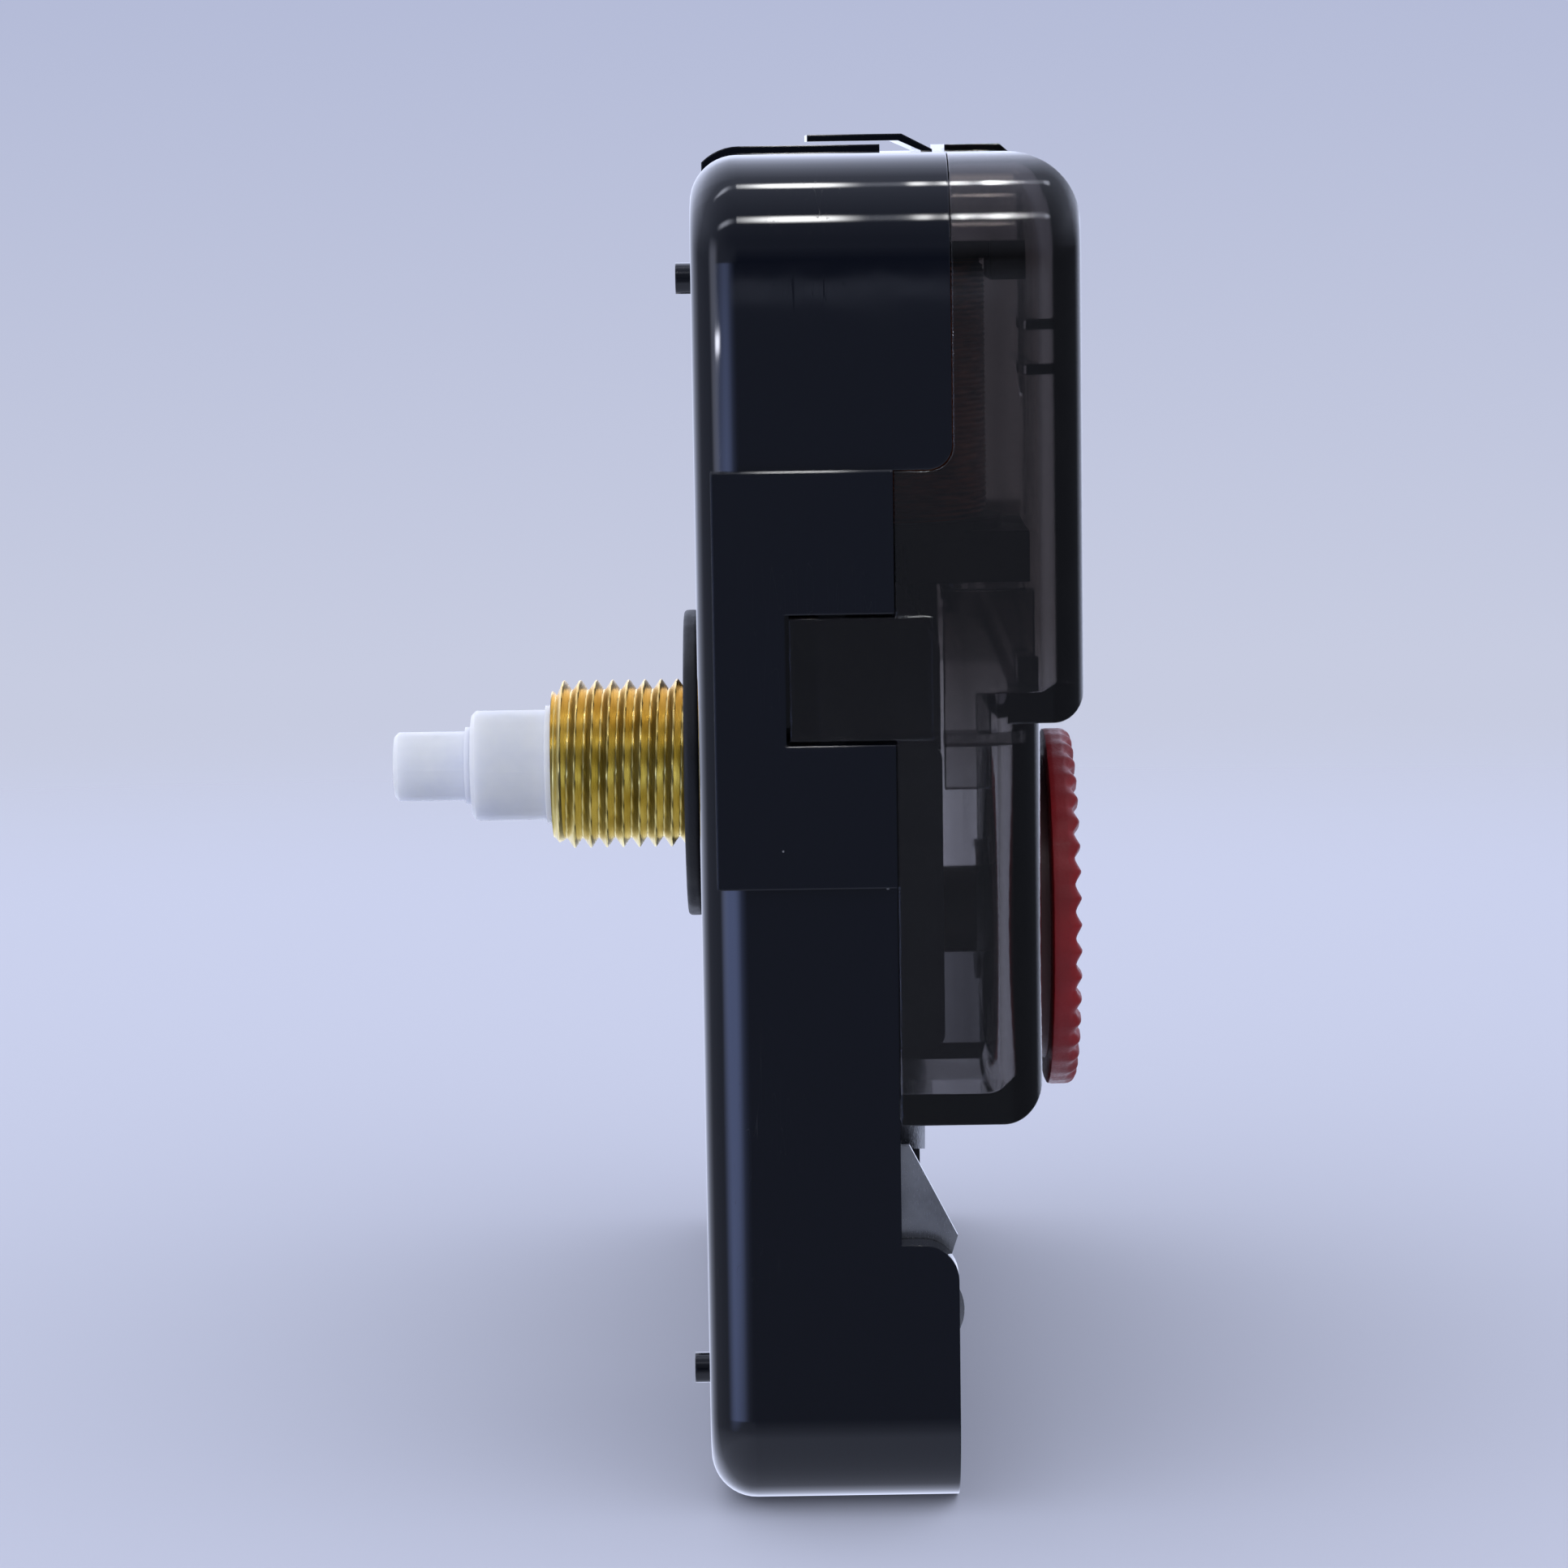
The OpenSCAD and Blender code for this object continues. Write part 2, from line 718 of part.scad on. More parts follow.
// Clear length between a seat's end and the part behind it
seat_end = 0.3;
shank_front = -case_front - seat_end;
pipe_r = hour_r + shoulder;
module thread_bushing() {
    color("#c9a23c") placed() turned() difference() {
        polygon([
            [0, -thread_len], [thread_r - thread_chamfer, -thread_len],
            [thread_r, thread_chamfer - thread_len], [thread_r, shank_front],
            [shank_r, shank_front], [shank_r, case_floor + ring_t], [0, case_floor + ring_t]
        ]);
        translate([-past, -thread_len - past])
            square([pipe_r + arbor_gap + past, thread_len + case_floor + ring_t + 2 * past]);
    }
}

// Spring ring that is pressed on the bushing's end, behind the floor
module retaining_ring() {
    color("#9aa0a6") placed() turned()
        translate([shank_r + bushing_gap, case_floor]) square([ring_r - shank_r - bushing_gap, ring_t]);
}

module dial_gasket() {
    inner = shank_r + 0.05;
    color("#15161a") placed() turned()
        translate([inner, -boss_h - gasket_t]) square([gasket_r - inner, gasket_t]);
}

// A pipe's outline: a chamfered seat from tip to seat_y, and a thicker length behind it to y1
tip_chamfer = 0.2;
module pipe_outline(tip, seat_y, y1, r) {
    polygon([
        [0, tip], [r - tip_chamfer, tip], [r, tip + tip_chamfer], [r, seat_y],
        [r + shoulder, seat_y], [r + shoulder, y1], [0, y1]
    ]);
}

// Minute arbor, hollow for the second arbor
module minute_arbor() {
    color("#eceef0") placed() difference() {
        turned() pipe_outline(minute_tip, hour_tip - seat_end, y_cannon, minute_r);
        slab(minute_tip - past, y_cannon + past) circle(second_r + arbor_gap);
    }
}

// Pinion on the minute arbor's end, with the seat of the clutch behind its teeth
clutch_seat_r = 1.4;
y_collar = y_centre + wheel_t + 0.05;
collar_t = 0.25;
module cannon_pinion() {
    color("#e6e8ea") placed() difference() {
        union() {
            slab(y_cannon, y_clutch) pinion_outline(teeth_cannon, mod_minute);
            slab(y_clutch, y_collar) circle(clutch_seat_r);
            slab(y_collar, y_collar + collar_t) circle(clutch_seat_r + 0.2);
        }
        slab(y_cannon - past, y_collar + past) circle(second_r + arbor_gap);
    }
}

// Hour arbor, hollow for the minute arbor
pipe_bore = minute_r + shoulder + arbor_gap;
module hour_pipe() {
    color("#f4f5f7") placed() difference() {
        turned() pipe_outline(hour_tip, -thread_len - seat_end, y_hour, hour_r);
        slab(hour_tip - past, y_hour + past) circle(pipe_bore);
    }
}

module hour_wheel() {
    color("#eef0f2") placed() slab(y_hour, y_hour + hour_t) difference() {
        wheel_outline(teeth_hour, mod_hour, gap_turn(teeth_hour, -knob_angle));
        circle(pipe_bore);
    }
}

module clutch_spring() {
    color("#c58b4a") placed() turned()
        polygon([
            [clutch_seat_r + 0.03, y_clutch], [clutch_seat_r + 0.8, y_clutch],
            [3.2, y_clutch + clutch_rise], [3.2, y_clutch + clutch_rise + clutch_t],
            [clutch_seat_r + 0.8, y_clutch + clutch_t], [clutch_seat_r + 0.03, y_clutch + clutch_t]
        ]);
}

module centre_wheel() {
    color("#d9dadb") placed() slab(y_centre, y_centre + wheel_t) difference() {
        wheel_outline(teeth_centre, mod_centre, gap_turn(teeth_centre, third_angle));
        circle(clutch_seat_r + 0.05);
        windows(5, 1.15 * window_at * pitch_r(teeth_centre, mod_centre), 1.2 * window_r);
    }
}

module reverse_minute_wheel() {
    color("#e6e2d2") placed() at(at_reverse) difference() {
        union() {
            slab(y_hour - 0.05, y_reverse)
                pinion_outline(teeth_reverse_pinion, mod_hour, 180 - knob_angle);
            slab(y_reverse, y_reverse + reverse_t)
                wheel_outline(teeth_reverse, mod_minute, reverse_turn);
        }
        slab(y_hour - past, y_reverse + reverse_t + past) circle(reverse_post_r + 0.05);
    }
}

// The cannon pinion's tooth nearest the reverse wheel sets how that wheel is turned
cannon_off = -knob_angle - round(-knob_angle / (360 / teeth_cannon)) * 360 / teeth_cannon;
reverse_turn = 180 - knob_angle + 180 / teeth_reverse + cannon_off * teeth_cannon / teeth_reverse;
// The reverse wheel's teeth on the knob's side set how the knob's gear is turned
knob_side = -knob_angle - reverse_turn;
reverse_off = knob_side - round(knob_side / (360 / teeth_reverse)) * 360 / teeth_reverse;
stem_turn = 180 - knob_angle + 180 / teeth_reverse + reverse_off;

stem_pin_r = 0.8;
stem_flat = 1.4 * stem_r;
y_stem_gear = y_reverse;
y_hub = cover_shallow + 0.08;
y_knob = cover_deep + 0.05 - knob_t;
module setting_stem() {
    color("#3a1417") placed() at(at_knob) {
        slab(case_floor - 0.4, case_floor + 0.6) circle(stem_pin_r);
        slab(case_floor + 0.6, y_knob) circle(stem_r);
        slab(y_stem_gear, y_stem_gear + reverse_t) wheel_outline(teeth_reverse, mod_minute, stem_turn);
        slab(y_knob, y_knob + 0.9) intersection() {
            circle(stem_r);
            square([2 * stem_r, stem_flat], center = true);
        }
    }
}

// Knob with triangular teeth round its rim and a plain hub in front
module knob_outline() {
    step = 360 / knob_teeth;
    polygon([
        for (i = [0:knob_teeth - 1])
            each [polar(knob_r - knob_tooth, i * step), polar(knob_r, (i + 0.5) * step)]
    ]);
}

// How far the rim's teeth stop short of its rear face
knob_round = 0.35;
module setting_knob() {
    color("#a3202a") placed() at(at_knob) difference() {
        union() {
            slab(y_knob, y_knob + knob_t - knob_round) knob_outline();
            turned() plate([0, y_knob], [knob_r - 0.6 * knob_tooth, y_knob + knob_t], [0, 0, 0.6, 0]);
            slab(y_hub, y_knob) circle(hub_r);
        }
        slab(y_hub - past, y_knob) circle(stem_r + 0.01);
        slab(y_knob - 0.01, y_knob + 0.92) intersection() {
            circle(stem_r + 0.02);
            square([2 * stem_r + 1, stem_flat + 0.02], center = true);
        }
    }
}

// An arbor with pivots in the case's bearing and in the bridge, thicker between y0 and y1
module arbor(r, y0, y1) {
    slab(y0, y1) circle(r);
    slab(boss_y - bearing_in, y_bridge + bridge_t) circle(pivot_r);
}

module third_wheel() {
    color("#e9e9ea") placed() at(at_third) {
        slab(y_centre - pinion_over, y_third)
            pinion_outline(teeth_third_pinion, mod_centre, third_angle + 180);
        slab(y_third, y_third + wheel_t) difference() {
            wheel_outline(teeth_third, mod_third, third_turn);
            windows(5, window_at * pitch_r(teeth_third, mod_third), window_r);
        }
        arbor(0.6, boss_y + face_gap, y_bridge - face_gap);
    }
}

// The third wheel meshes with the second pinion, whose first tooth points along the shaft's X
second_off = third_angle - round(third_angle / 45) * 45;
third_turn = third_angle + 180 + 180 / teeth_third + second_off * teeth_second_pinion / teeth_third;

module second_arbor() {
    color("#dfe1e3") placed() difference() {
        union() {
            slab(minute_tip, y_third - pinion_over) circle(second_r);
            slab(y_third - pinion_over, y_second)
                pinion_outline(teeth_second_pinion, mod_third);
            slab(y_second, y_bridge - face_gap) circle(0.7);
            slab(y_bridge - face_gap, y_bridge + bridge_t) circle(pivot_r);
        }
        slab(minute_tip - past, minute_tip + socket_depth) circle(socket_r);
    }
}

module second_wheel() {
    color("#e9e9ea") placed() slab(y_second, y_second + wheel_t) difference() {
        wheel_outline(teeth_second, mod_second, gap_turn(teeth_second, inter_angle));
        circle(0.7);
        windows(5, window_at * pitch_r(teeth_second, mod_second), window_r);
    }
}

module intermediate_wheel() {
    color("#e9e9ea") placed() at(at_inter) {
        slab(y_second - pinion_over, y_inter)
            pinion_outline(teeth_inter_pinion, mod_second, inter_angle + 180);
        slab(y_inter, y_inter + wheel_t) difference() {
            wheel_outline(teeth_inter, mod_rotor, gap_turn(teeth_inter, rotor_angle));
            windows(5, window_at * pitch_r(teeth_inter, mod_rotor), 0.9 * window_r);
        }
        arbor(0.5, boss_y + face_gap, y_bridge - face_gap);
    }
}

rotor_collar_r = 1.1;
module rotor_pinion() {
    color("#f0f0f0") placed() at(at_rotor) {
        slab(y_magnet + magnet_t, y_inter - pinion_over) circle(rotor_collar_r);
        slab(y_inter - pinion_over, y_bridge - face_gap)
            pinion_outline(teeth_rotor, mod_rotor, rotor_angle + 180);
        arbor(0.6, boss_y + face_gap, y_bridge - face_gap);
    }
}

module rotor_magnet() {
    color("#4a4c50") placed() at(at_rotor) slab(y_magnet, y_magnet + magnet_t) difference() {
        circle(magnet_r);
        circle(0.6);
    }
}

// Motor
ring_r_stator = stator_in + stator_ring;
limb_x = coil_x - coil_r - flange_over - 0.8;
limb_w = 3.6;
// The stator's plate: a ring round the magnet, and two limbs that go round the coil to its core
module stator_plate() {
    core_x = coil_x - core_w / 2;
    top_z = coil_z + core_pin_z;
    low_z = coil_z - core_pin_z;
    color("#9b9a96") placed() slab(y_stator, y_stator + stator_t) difference() {
        union() {
            translate(at_rotor) circle(ring_r_stator);
            translate([limb_x - limb_w, at_rotor[1]]) square([limb_w, top_z + 1 - at_rotor[1]]);
            translate([limb_x - limb_w, top_z - 1]) square([core_x + core_w + limb_w - limb_x, 2]);
            polygon([
                at_rotor, at_rotor - [0, ring_r_stator * 0.9], [core_x, low_z - 1],
                [core_x + core_w, low_z - 1], [core_x + core_w, low_z + 1], [core_x - 5, low_z + 1]
            ]);
        }
        translate(at_rotor) circle(stator_in);
        for (p = [-1, 1])
            side_notch(p);
        for (t = [-1, 1])
            translate([coil_x, coil_z + t * core_pin_z]) circle(core_pin_r + pin_gap);
    }
}

// Notches that narrow the stator beside the magnet
module side_notch(p) {
    translate(at_rotor + polar(ring_r_stator - 0.1, 90 + 80 * p)) circle(1.4);
}

module coil_core() {
    half = bobbin_half + core_end;
    color("#8d8c88") placed() slab(y_core, y_core + core_t) difference() {
        translate([coil_x - core_w / 2, coil_z - half]) square([core_w, 2 * half]);
        for (t = [-1, 1])
            translate([coil_x, coil_z + t * core_pin_z]) circle(core_pin_r + pin_gap);
    }
}

bobbin_r = core_w / 2 + 1.1;
terminal_back = cover_deep - cover_wall - 0.3 - coil_y;
terminal_w = 6;
anchor_w = 8;
anchor_h = 1.7;
// Bobbin with a terminal block behind its upper flange and an anchor block under its lower one
module coil_bobbin() {
    color("#cfc9b8") placed() difference() {
        translate([coil_x, coil_y, coil_z - bobbin_half]) {
            cylinder(r = bobbin_r, h = 2 * bobbin_half);
            for (z = [0, 2 * bobbin_half - flange_thick])
                translate([0, 0, z]) cylinder(r = coil_r + flange_over, h = flange_thick);
            translate([-terminal_w / 2, coil_r + 0.1, 2 * bobbin_half - 2 * flange_thick])
                cube([terminal_w, terminal_back - coil_r - 0.1, 2 * flange_thick]);
            translate([-anchor_w / 2, core_t + 0.6, -anchor_h])
                cube([anchor_w, terminal_back - core_t - 0.6, anchor_h + flange_thick / 2]);
        }
        at_terminals() cylinder(r = terminal_r + 0.02, h = 2 * terminal_len);
        translate([coil_x - core_w / 2 - 0.05, y_core - 0.02, coil_z - bobbin_half - past])
            cube([core_w + 0.1, core_t + 0.07, 2 * bobbin_half + 2 * past]);
    }
}

// Pins in the anchor block, to which the coil's wire ends are soldered
terminal_r = 0.35;
terminal_len = 2.6;
terminal_y = 3.4;
terminal_apart = 5;
module at_terminals() {
    for (t = [-1, 1])
        translate([
            coil_x + t * terminal_apart / 2, coil_y + terminal_y,
            coil_z - bobbin_half - anchor_h - terminal_len / 2
        ]) children();
}

module coil_terminals() {
    color("#d6d8da") placed() at_terminals() {
        cylinder(r = terminal_r, h = terminal_len);
        translate([0, 0, terminal_len / 4]) cylinder(r = 1.6 * terminal_r, h = terminal_len / 5);
    }
}

module coil_winding() {
    color("#8a4a24") placed() translate([coil_x, coil_y, coil_z - coil_len / 2]) difference() {
        cylinder(r = coil_r, h = coil_len);
        translate([0, 0, -past]) cylinder(r = bobbin_r, h = coil_len + 2 * past);
    }
}

module train_bridge() {
    color("#1b1d22") placed() slab(y_bridge, y_bridge + bridge_t) difference() {
        hull() for (p = concat(posts, [at_rotor])) translate(p) circle(bridge_land, $fn = 32);
        for (p = [at_shaft, at_third, at_inter, at_rotor]) translate(p) circle(pivot_r + pivot_gap);
        for (p = posts) translate(p) circle(post_pin_r + pin_gap);
    }
}

// Circuit
module circuit_board() {
    color("#2c5a3a") placed() slab(board_y, board_y + board_t) difference() {
        translate([board_x, board_top - board_h]) square([board_w, board_h]);
        for (p = board_pins) translate(p) circle(post_pin_r + pin_gap);
        translate([board_x - past, board_top - 1.6]) square([past + 1.6, 2]);
    }
}

module chip_blob() {
    color("#0c0d10") placed() at([board_x + board_w * 0.42, board_top - board_h * 0.6]) turned()
        polygon([
            [0, board_y + board_t], [2.6, board_y + board_t], [2.3, board_y + board_t + 0.6],
            [1.4, board_y + board_t + 1], [0, board_y + board_t + 1.1]
        ]);
}

crystal_r = 1;
module crystal_can() {
    color("#c4c7ca") placed()
        translate([board_x + board_w * 0.62, board_y + board_t + crystal_r, board_top - board_h * 0.55])
            rotate([0, 90, 0]) cylinder(r = crystal_r, h = 6);
}

module chip_capacitor() {
    color("#b58a5a") placed()
        translate([board_x + 2.4, board_y + board_t, board_top - board_h + 2]) cube([2, 0.9, 1.2]);
}

// Battery contacts: an end plate in the bay, whose neck goes up through a slot in the bay's wall,
// and a strip from there to the circuit board
contact_in = in_w - contact_gap - contact_t;
neck_y = 5.3;
neck_w = 2;
low_neck_y = 1.5;
module contact_plate(neck) {
    carried(contact_in, contact_in + contact_t) {
        polygon([
            [case_floor + 0.1, bay_bottom + bay_corner], [rim_mid - 0.4, bay_bottom + bay_corner],
            [rim_low, rim_low_z + 0.1], [rim_mid + 0.4, bay_top - 0.3], [neck, bay_top - 0.3],
            [case_floor + 0.1, bay_top - 0.3]
        ]);
        translate([neck, bay_top - 0.4]) square([neck_w, bay_wall + 0.8]);
    }
}

module neck_slots() {
    slot = contact_t + 2 * contact_gap;
    translate([in_w - slot, neck_y - 0.1, bay_top - past]) cube([slot, rim_mid, bay_wall + 2 * past]);
    translate([-in_w, low_neck_y - 0.1, bay_top - past])
        cube([slot, neck_w + 0.2, bay_wall + 2 * past]);
}

// Runs along the bay's roof and then up behind the board
strip_x = board_x + 5;
strip_z = bay_roof + 0.1;
strip_end = board_top - board_h + 2.2;
module contact_positive() {
    color("#c9ccd0") placed() {
        contact_plate(neck_y);
        translate([strip_x, neck_y, strip_z]) cube([contact_in + contact_t - strip_x, neck_w, contact_t]);
        slab(board_y + board_t, board_y + board_t + contact_t)
            translate([strip_x, strip_z]) square([neck_w, strip_end - strip_z]);
        translate([contact_in, cell_y, cell_z]) rotate([0, -90, 0])
            cylinder(r1 = 2, r2 = 1.5, h = 0.5);
    }
}

// A bent tongue presses the cell forward, and a strip beside the wall rises to the board
tongue_in = 2.1;
module contact_negative() {
    x = -contact_in;
    color("#c9ccd0") placed() {
        mirror([1, 0, 0]) contact_plate(low_neck_y);
        mirror([1, 0, 0]) carried(contact_in, contact_in + contact_t)
            translate([low_neck_y, bay_top]) square([neck_w, strip_end - bay_top]);
        mirror([1, 0, 0]) carried(contact_in, contact_in + contact_t)
            translate([low_neck_y, strip_end - 2]) square([board_y + board_t + contact_t - low_neck_y, 2]);
        slab(board_y + board_t, board_y + board_t + contact_t)
            translate([x - contact_t, strip_end - 2]) square([2.4, 2]);
        slab(cell_y - 2, cell_y + 2) polygon([
            [x - contact_t, bay_top - 1.6], [x, bay_top - 1.6],
            [x + tongue_in, cell_z + 0.6], [x + tongue_in, cell_z - 1.4], [x + 0.6, bay_bottom + 2.6],
            [x + 0.3, bay_bottom + 2.8], [x + tongue_in - contact_t, cell_z - 1.4],
            [x + tongue_in - contact_t, cell_z + 0.5], [x - contact_t, bay_top - 2.2]
        ]);
    }
}

front_case();
battery_bay();
rear_cover();
thread_bushing();
retaining_ring();
dial_gasket();
minute_arbor();
cannon_pinion();
hour_pipe();
hour_wheel();
clutch_spring();
centre_wheel();
reverse_minute_wheel();
setting_stem();
setting_knob();
third_wheel();
second_arbor();
second_wheel();
intermediate_wheel();
rotor_pinion();
rotor_magnet();
stator_plate();
coil_core();
coil_bobbin();
coil_winding();
coil_terminals();
train_bridge();
circuit_board();
chip_blob();
crystal_can();
chip_capacitor();
contact_positive();
contact_negative();
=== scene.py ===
"""Quartz clock movement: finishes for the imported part, and the pieces that need more than its solids.

Everything is in metres in the part's own frame. +Z is up, the hands point along -Y, and the
origin is on the shaft line where the dial seats.
"""

import json
import math

import bpy
import numpy as np
from mathutils import Matrix, Vector


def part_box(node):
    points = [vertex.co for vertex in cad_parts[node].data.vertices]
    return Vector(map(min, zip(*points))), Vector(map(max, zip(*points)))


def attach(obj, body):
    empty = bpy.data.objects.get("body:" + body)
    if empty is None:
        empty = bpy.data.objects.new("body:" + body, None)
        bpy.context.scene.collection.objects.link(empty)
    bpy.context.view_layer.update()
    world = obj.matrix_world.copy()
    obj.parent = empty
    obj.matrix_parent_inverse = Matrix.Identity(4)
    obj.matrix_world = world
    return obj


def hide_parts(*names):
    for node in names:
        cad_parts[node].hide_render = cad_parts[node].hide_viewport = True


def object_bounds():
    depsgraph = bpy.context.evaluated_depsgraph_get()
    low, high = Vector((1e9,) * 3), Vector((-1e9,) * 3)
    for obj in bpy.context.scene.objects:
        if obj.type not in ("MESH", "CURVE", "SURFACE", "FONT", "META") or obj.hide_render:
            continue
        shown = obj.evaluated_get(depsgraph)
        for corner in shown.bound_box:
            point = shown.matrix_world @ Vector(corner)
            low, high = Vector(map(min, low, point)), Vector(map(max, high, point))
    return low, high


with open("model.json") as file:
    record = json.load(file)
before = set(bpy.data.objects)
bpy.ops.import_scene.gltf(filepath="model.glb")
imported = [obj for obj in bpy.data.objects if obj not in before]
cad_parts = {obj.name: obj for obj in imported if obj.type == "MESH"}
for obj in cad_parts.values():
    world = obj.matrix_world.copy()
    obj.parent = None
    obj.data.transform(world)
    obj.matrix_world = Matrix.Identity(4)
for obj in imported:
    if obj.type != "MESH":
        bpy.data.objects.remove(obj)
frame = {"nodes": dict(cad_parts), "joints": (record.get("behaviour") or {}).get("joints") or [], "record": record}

CAD_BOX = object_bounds()

bl_info = {
    "name": "Quartz clock movement",
    "version": (1, 0, 0),
    "blender": (4, 5, 0),
    "location": "3D View > Sidebar > Movement",
    "description": "Dresses a packed clock movement with its finishes, thread, knob and coil",
    "category": "Object",
}

MM = 0.001
MOUNTS = {m["name"]: m for m in frame["record"]["mounts"]}
# The height in millimetres at which the case's two solids meet.
BAY_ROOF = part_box("front_case")[0].z / MM
# The depth in millimetres of the knob's collar, between its rim and the cover. The knob's finish paints the collar
# a dull brown there: painted shade.
COLLAR = 0.5
PIVOTS = {j["child"]: Vector(j["pos_m"]) for j in frame["joints"]}


def linear(colour):
    """The linear RGBA value of an sRGB hex colour such as "#12151c"."""
    channels = [int(colour[i : i + 2], 16) / 255 for i in (1, 3, 5)]
    return (*[c / 12.92 if c <= 0.04045 else ((c + 0.055) / 1.055) ** 2.4 for c in channels], 1.0)


def add(tree, kind, values=None, **links):
    """Adds a node. values holds its settings and input values, and links what feeds its inputs."""
    made = tree.nodes.new(kind)
    for name, value in (values or {}).items():
        if isinstance(name, int) or name in made.inputs:
            made.inputs[name].default_value = value
        else:
            setattr(made, name, value)
    for name, source in links.items():
        key = int(name[1:]) if name[1:].isdigit() else name.replace("_", " ")
        tree.links.new(source, made.inputs[key])
    return made


def new_finish(name):
    """A new material's tree, and its place in the object counted in millimetres."""
    made = bpy.data.materials.new(name)
    made.use_nodes = True
    made.node_tree.nodes.clear()
    tree = made.node_tree
    place = add(tree, "ShaderNodeTexCoord")
    in_mm = add(tree, "ShaderNodeMapping", {"Scale": (1000, 1000, 1000)}, Vector=place.outputs["Object"])
    return made, tree, in_mm.outputs["Vector"]


def noise(tree, place, per_mm, detail=2.0, rough=0.5, stretch=(1, 1, 1)):
    """Cloudy variation from 0 to 1 with per_mm features in a millimetre."""
    drawn = add(tree, "ShaderNodeMapping", {"Scale": stretch}, Vector=place)
    return add(
        tree, "ShaderNodeTexNoise", {"Scale": per_mm, "Detail": detail, "Roughness": rough},
        Vector=drawn.outputs["Vector"],
    ).outputs["Fac"]


def spread(tree, value, low, high, to_low=0.0, to_high=1.0):
    """value from low to high is carried to the range from to_low to to_high, and held outside it."""
    return add(
        tree, "ShaderNodeMapRange",
        {"From Min": low, "From Max": high, "To Min": to_low, "To Max": to_high}, Value=value,
    ).outputs["Result"]


def blend_colours(tree, share, first, second):
    """The first colour where share is 0 and the second where it is 1. Each is a colour or a socket."""
    mixed = add(tree, "ShaderNodeMix", {"data_type": "RGBA"}, i0=share)
    for key, colour in ((6, first), (7, second)):
        if isinstance(colour, tuple):
            mixed.inputs[key].default_value = colour
        else:
            tree.links.new(colour, mixed.inputs[key])
    return mixed.outputs[2]


def dents(tree, height, depth_mm, normal=None):
    """A bump of depth_mm where height goes from 0 to 1."""
    bump = add(tree, "ShaderNodeBump", {"Strength": 1.0, "Distance": depth_mm * MM}, Height=height)
    if normal is not None:
        tree.links.new(normal, bump.inputs["Normal"])
    return bump.outputs["Normal"]


def soft_edges(tree, radius_mm, place=None, seam_mm=None):
    """The normal of a surface whose sharp edges are broken by radius_mm. At the height seam_mm two
    solids of one moulding meet, and the surface runs on there unbroken."""
    broken = add(tree, "ShaderNodeBevel", {"samples": 4, "Radius": radius_mm * MM}).outputs["Normal"]
    if seam_mm is None:
        return broken
    axes = add(tree, "ShaderNodeSeparateXYZ", None, Vector=place)
    near = add(
        tree, "ShaderNodeMath", {"operation": "COMPARE", 1: seam_mm, 2: 2 * radius_mm},
        i0=axes.outputs["Z"],
    )
    plain = add(tree, "ShaderNodeNewGeometry").outputs["Normal"]
    mixed = add(tree, "ShaderNodeMix", {"data_type": "VECTOR"}, i0=near.outputs[0], i4=broken, i5=plain)
    return mixed.outputs[1]


def close_finish(made, tree, values, **links):
    """Ends a material in one Principled shader with these values and links."""
    shader = add(tree, "ShaderNodeBsdfPrincipled", values, **links)
    add(tree, "ShaderNodeOutputMaterial", Surface=shader.outputs["BSDF"])
    return made


def gloss_abs(name, colour, rough_low, rough_high, dusty=1.0):
    """Injection-moulded black ABS from a polished tool: deep, nearly mirror-like, with a faint
    waviness from shrinkage, hairline scratches and a few specks of dust."""
    made, tree, place = new_finish(name)
    cloud = noise(tree, place, 0.35, 3.0)
    specks = add(tree, "ShaderNodeTexVoronoi", {"Scale": 0.55, "Randomness": 1.0}, Vector=place)
    size = spread(tree, noise(tree, place, 0.9), 0.45, 0.75, 0.0, 0.06)
    near = add(tree, "ShaderNodeMath", {"operation": "LESS_THAN"}, i0=specks.outputs["Distance"], i1=size)
    dust = add(tree, "ShaderNodeMath", {"operation": "MULTIPLY", 1: 0.5 * dusty}, i0=near.outputs[0])
    hair = noise(tree, place, 0.5, 1.0, stretch=(1.0, 5.0, 0.35))
    scratch = spread(tree, hair, 0.497, 0.5, 0.0, 1.0)
    scratch_end = spread(tree, hair, 0.5, 0.503, 1.0, 0.0)
    line = add(tree, "ShaderNodeMath", {"operation": "MULTIPLY"}, i0=scratch, i1=scratch_end)
    where = spread(tree, noise(tree, place, 0.12, 1.0), 0.55, 0.7)
    faint = add(tree, "ShaderNodeMath", {"operation": "MULTIPLY"}, i0=line.outputs[0], i1=where)
    rough = add(
        tree, "ShaderNodeMath", {"operation": "MULTIPLY_ADD", 1: 0.3},
        i0=faint.outputs[0], i2=spread(tree, cloud, 0.3, 0.7, rough_low, rough_high),
    )
    base = blend_colours(tree, dust.outputs[0], colour, linear("#8d8f96"))
    edges = soft_edges(tree, 0.1, place, BAY_ROOF)
    waves = dents(tree, noise(tree, place, 0.25, 2.0), 0.002, edges)
    return close_finish(
        made, tree, {"IOR": 1.53},
        Base_Color=base, Roughness=rough.outputs[0], Normal=waves,
    )


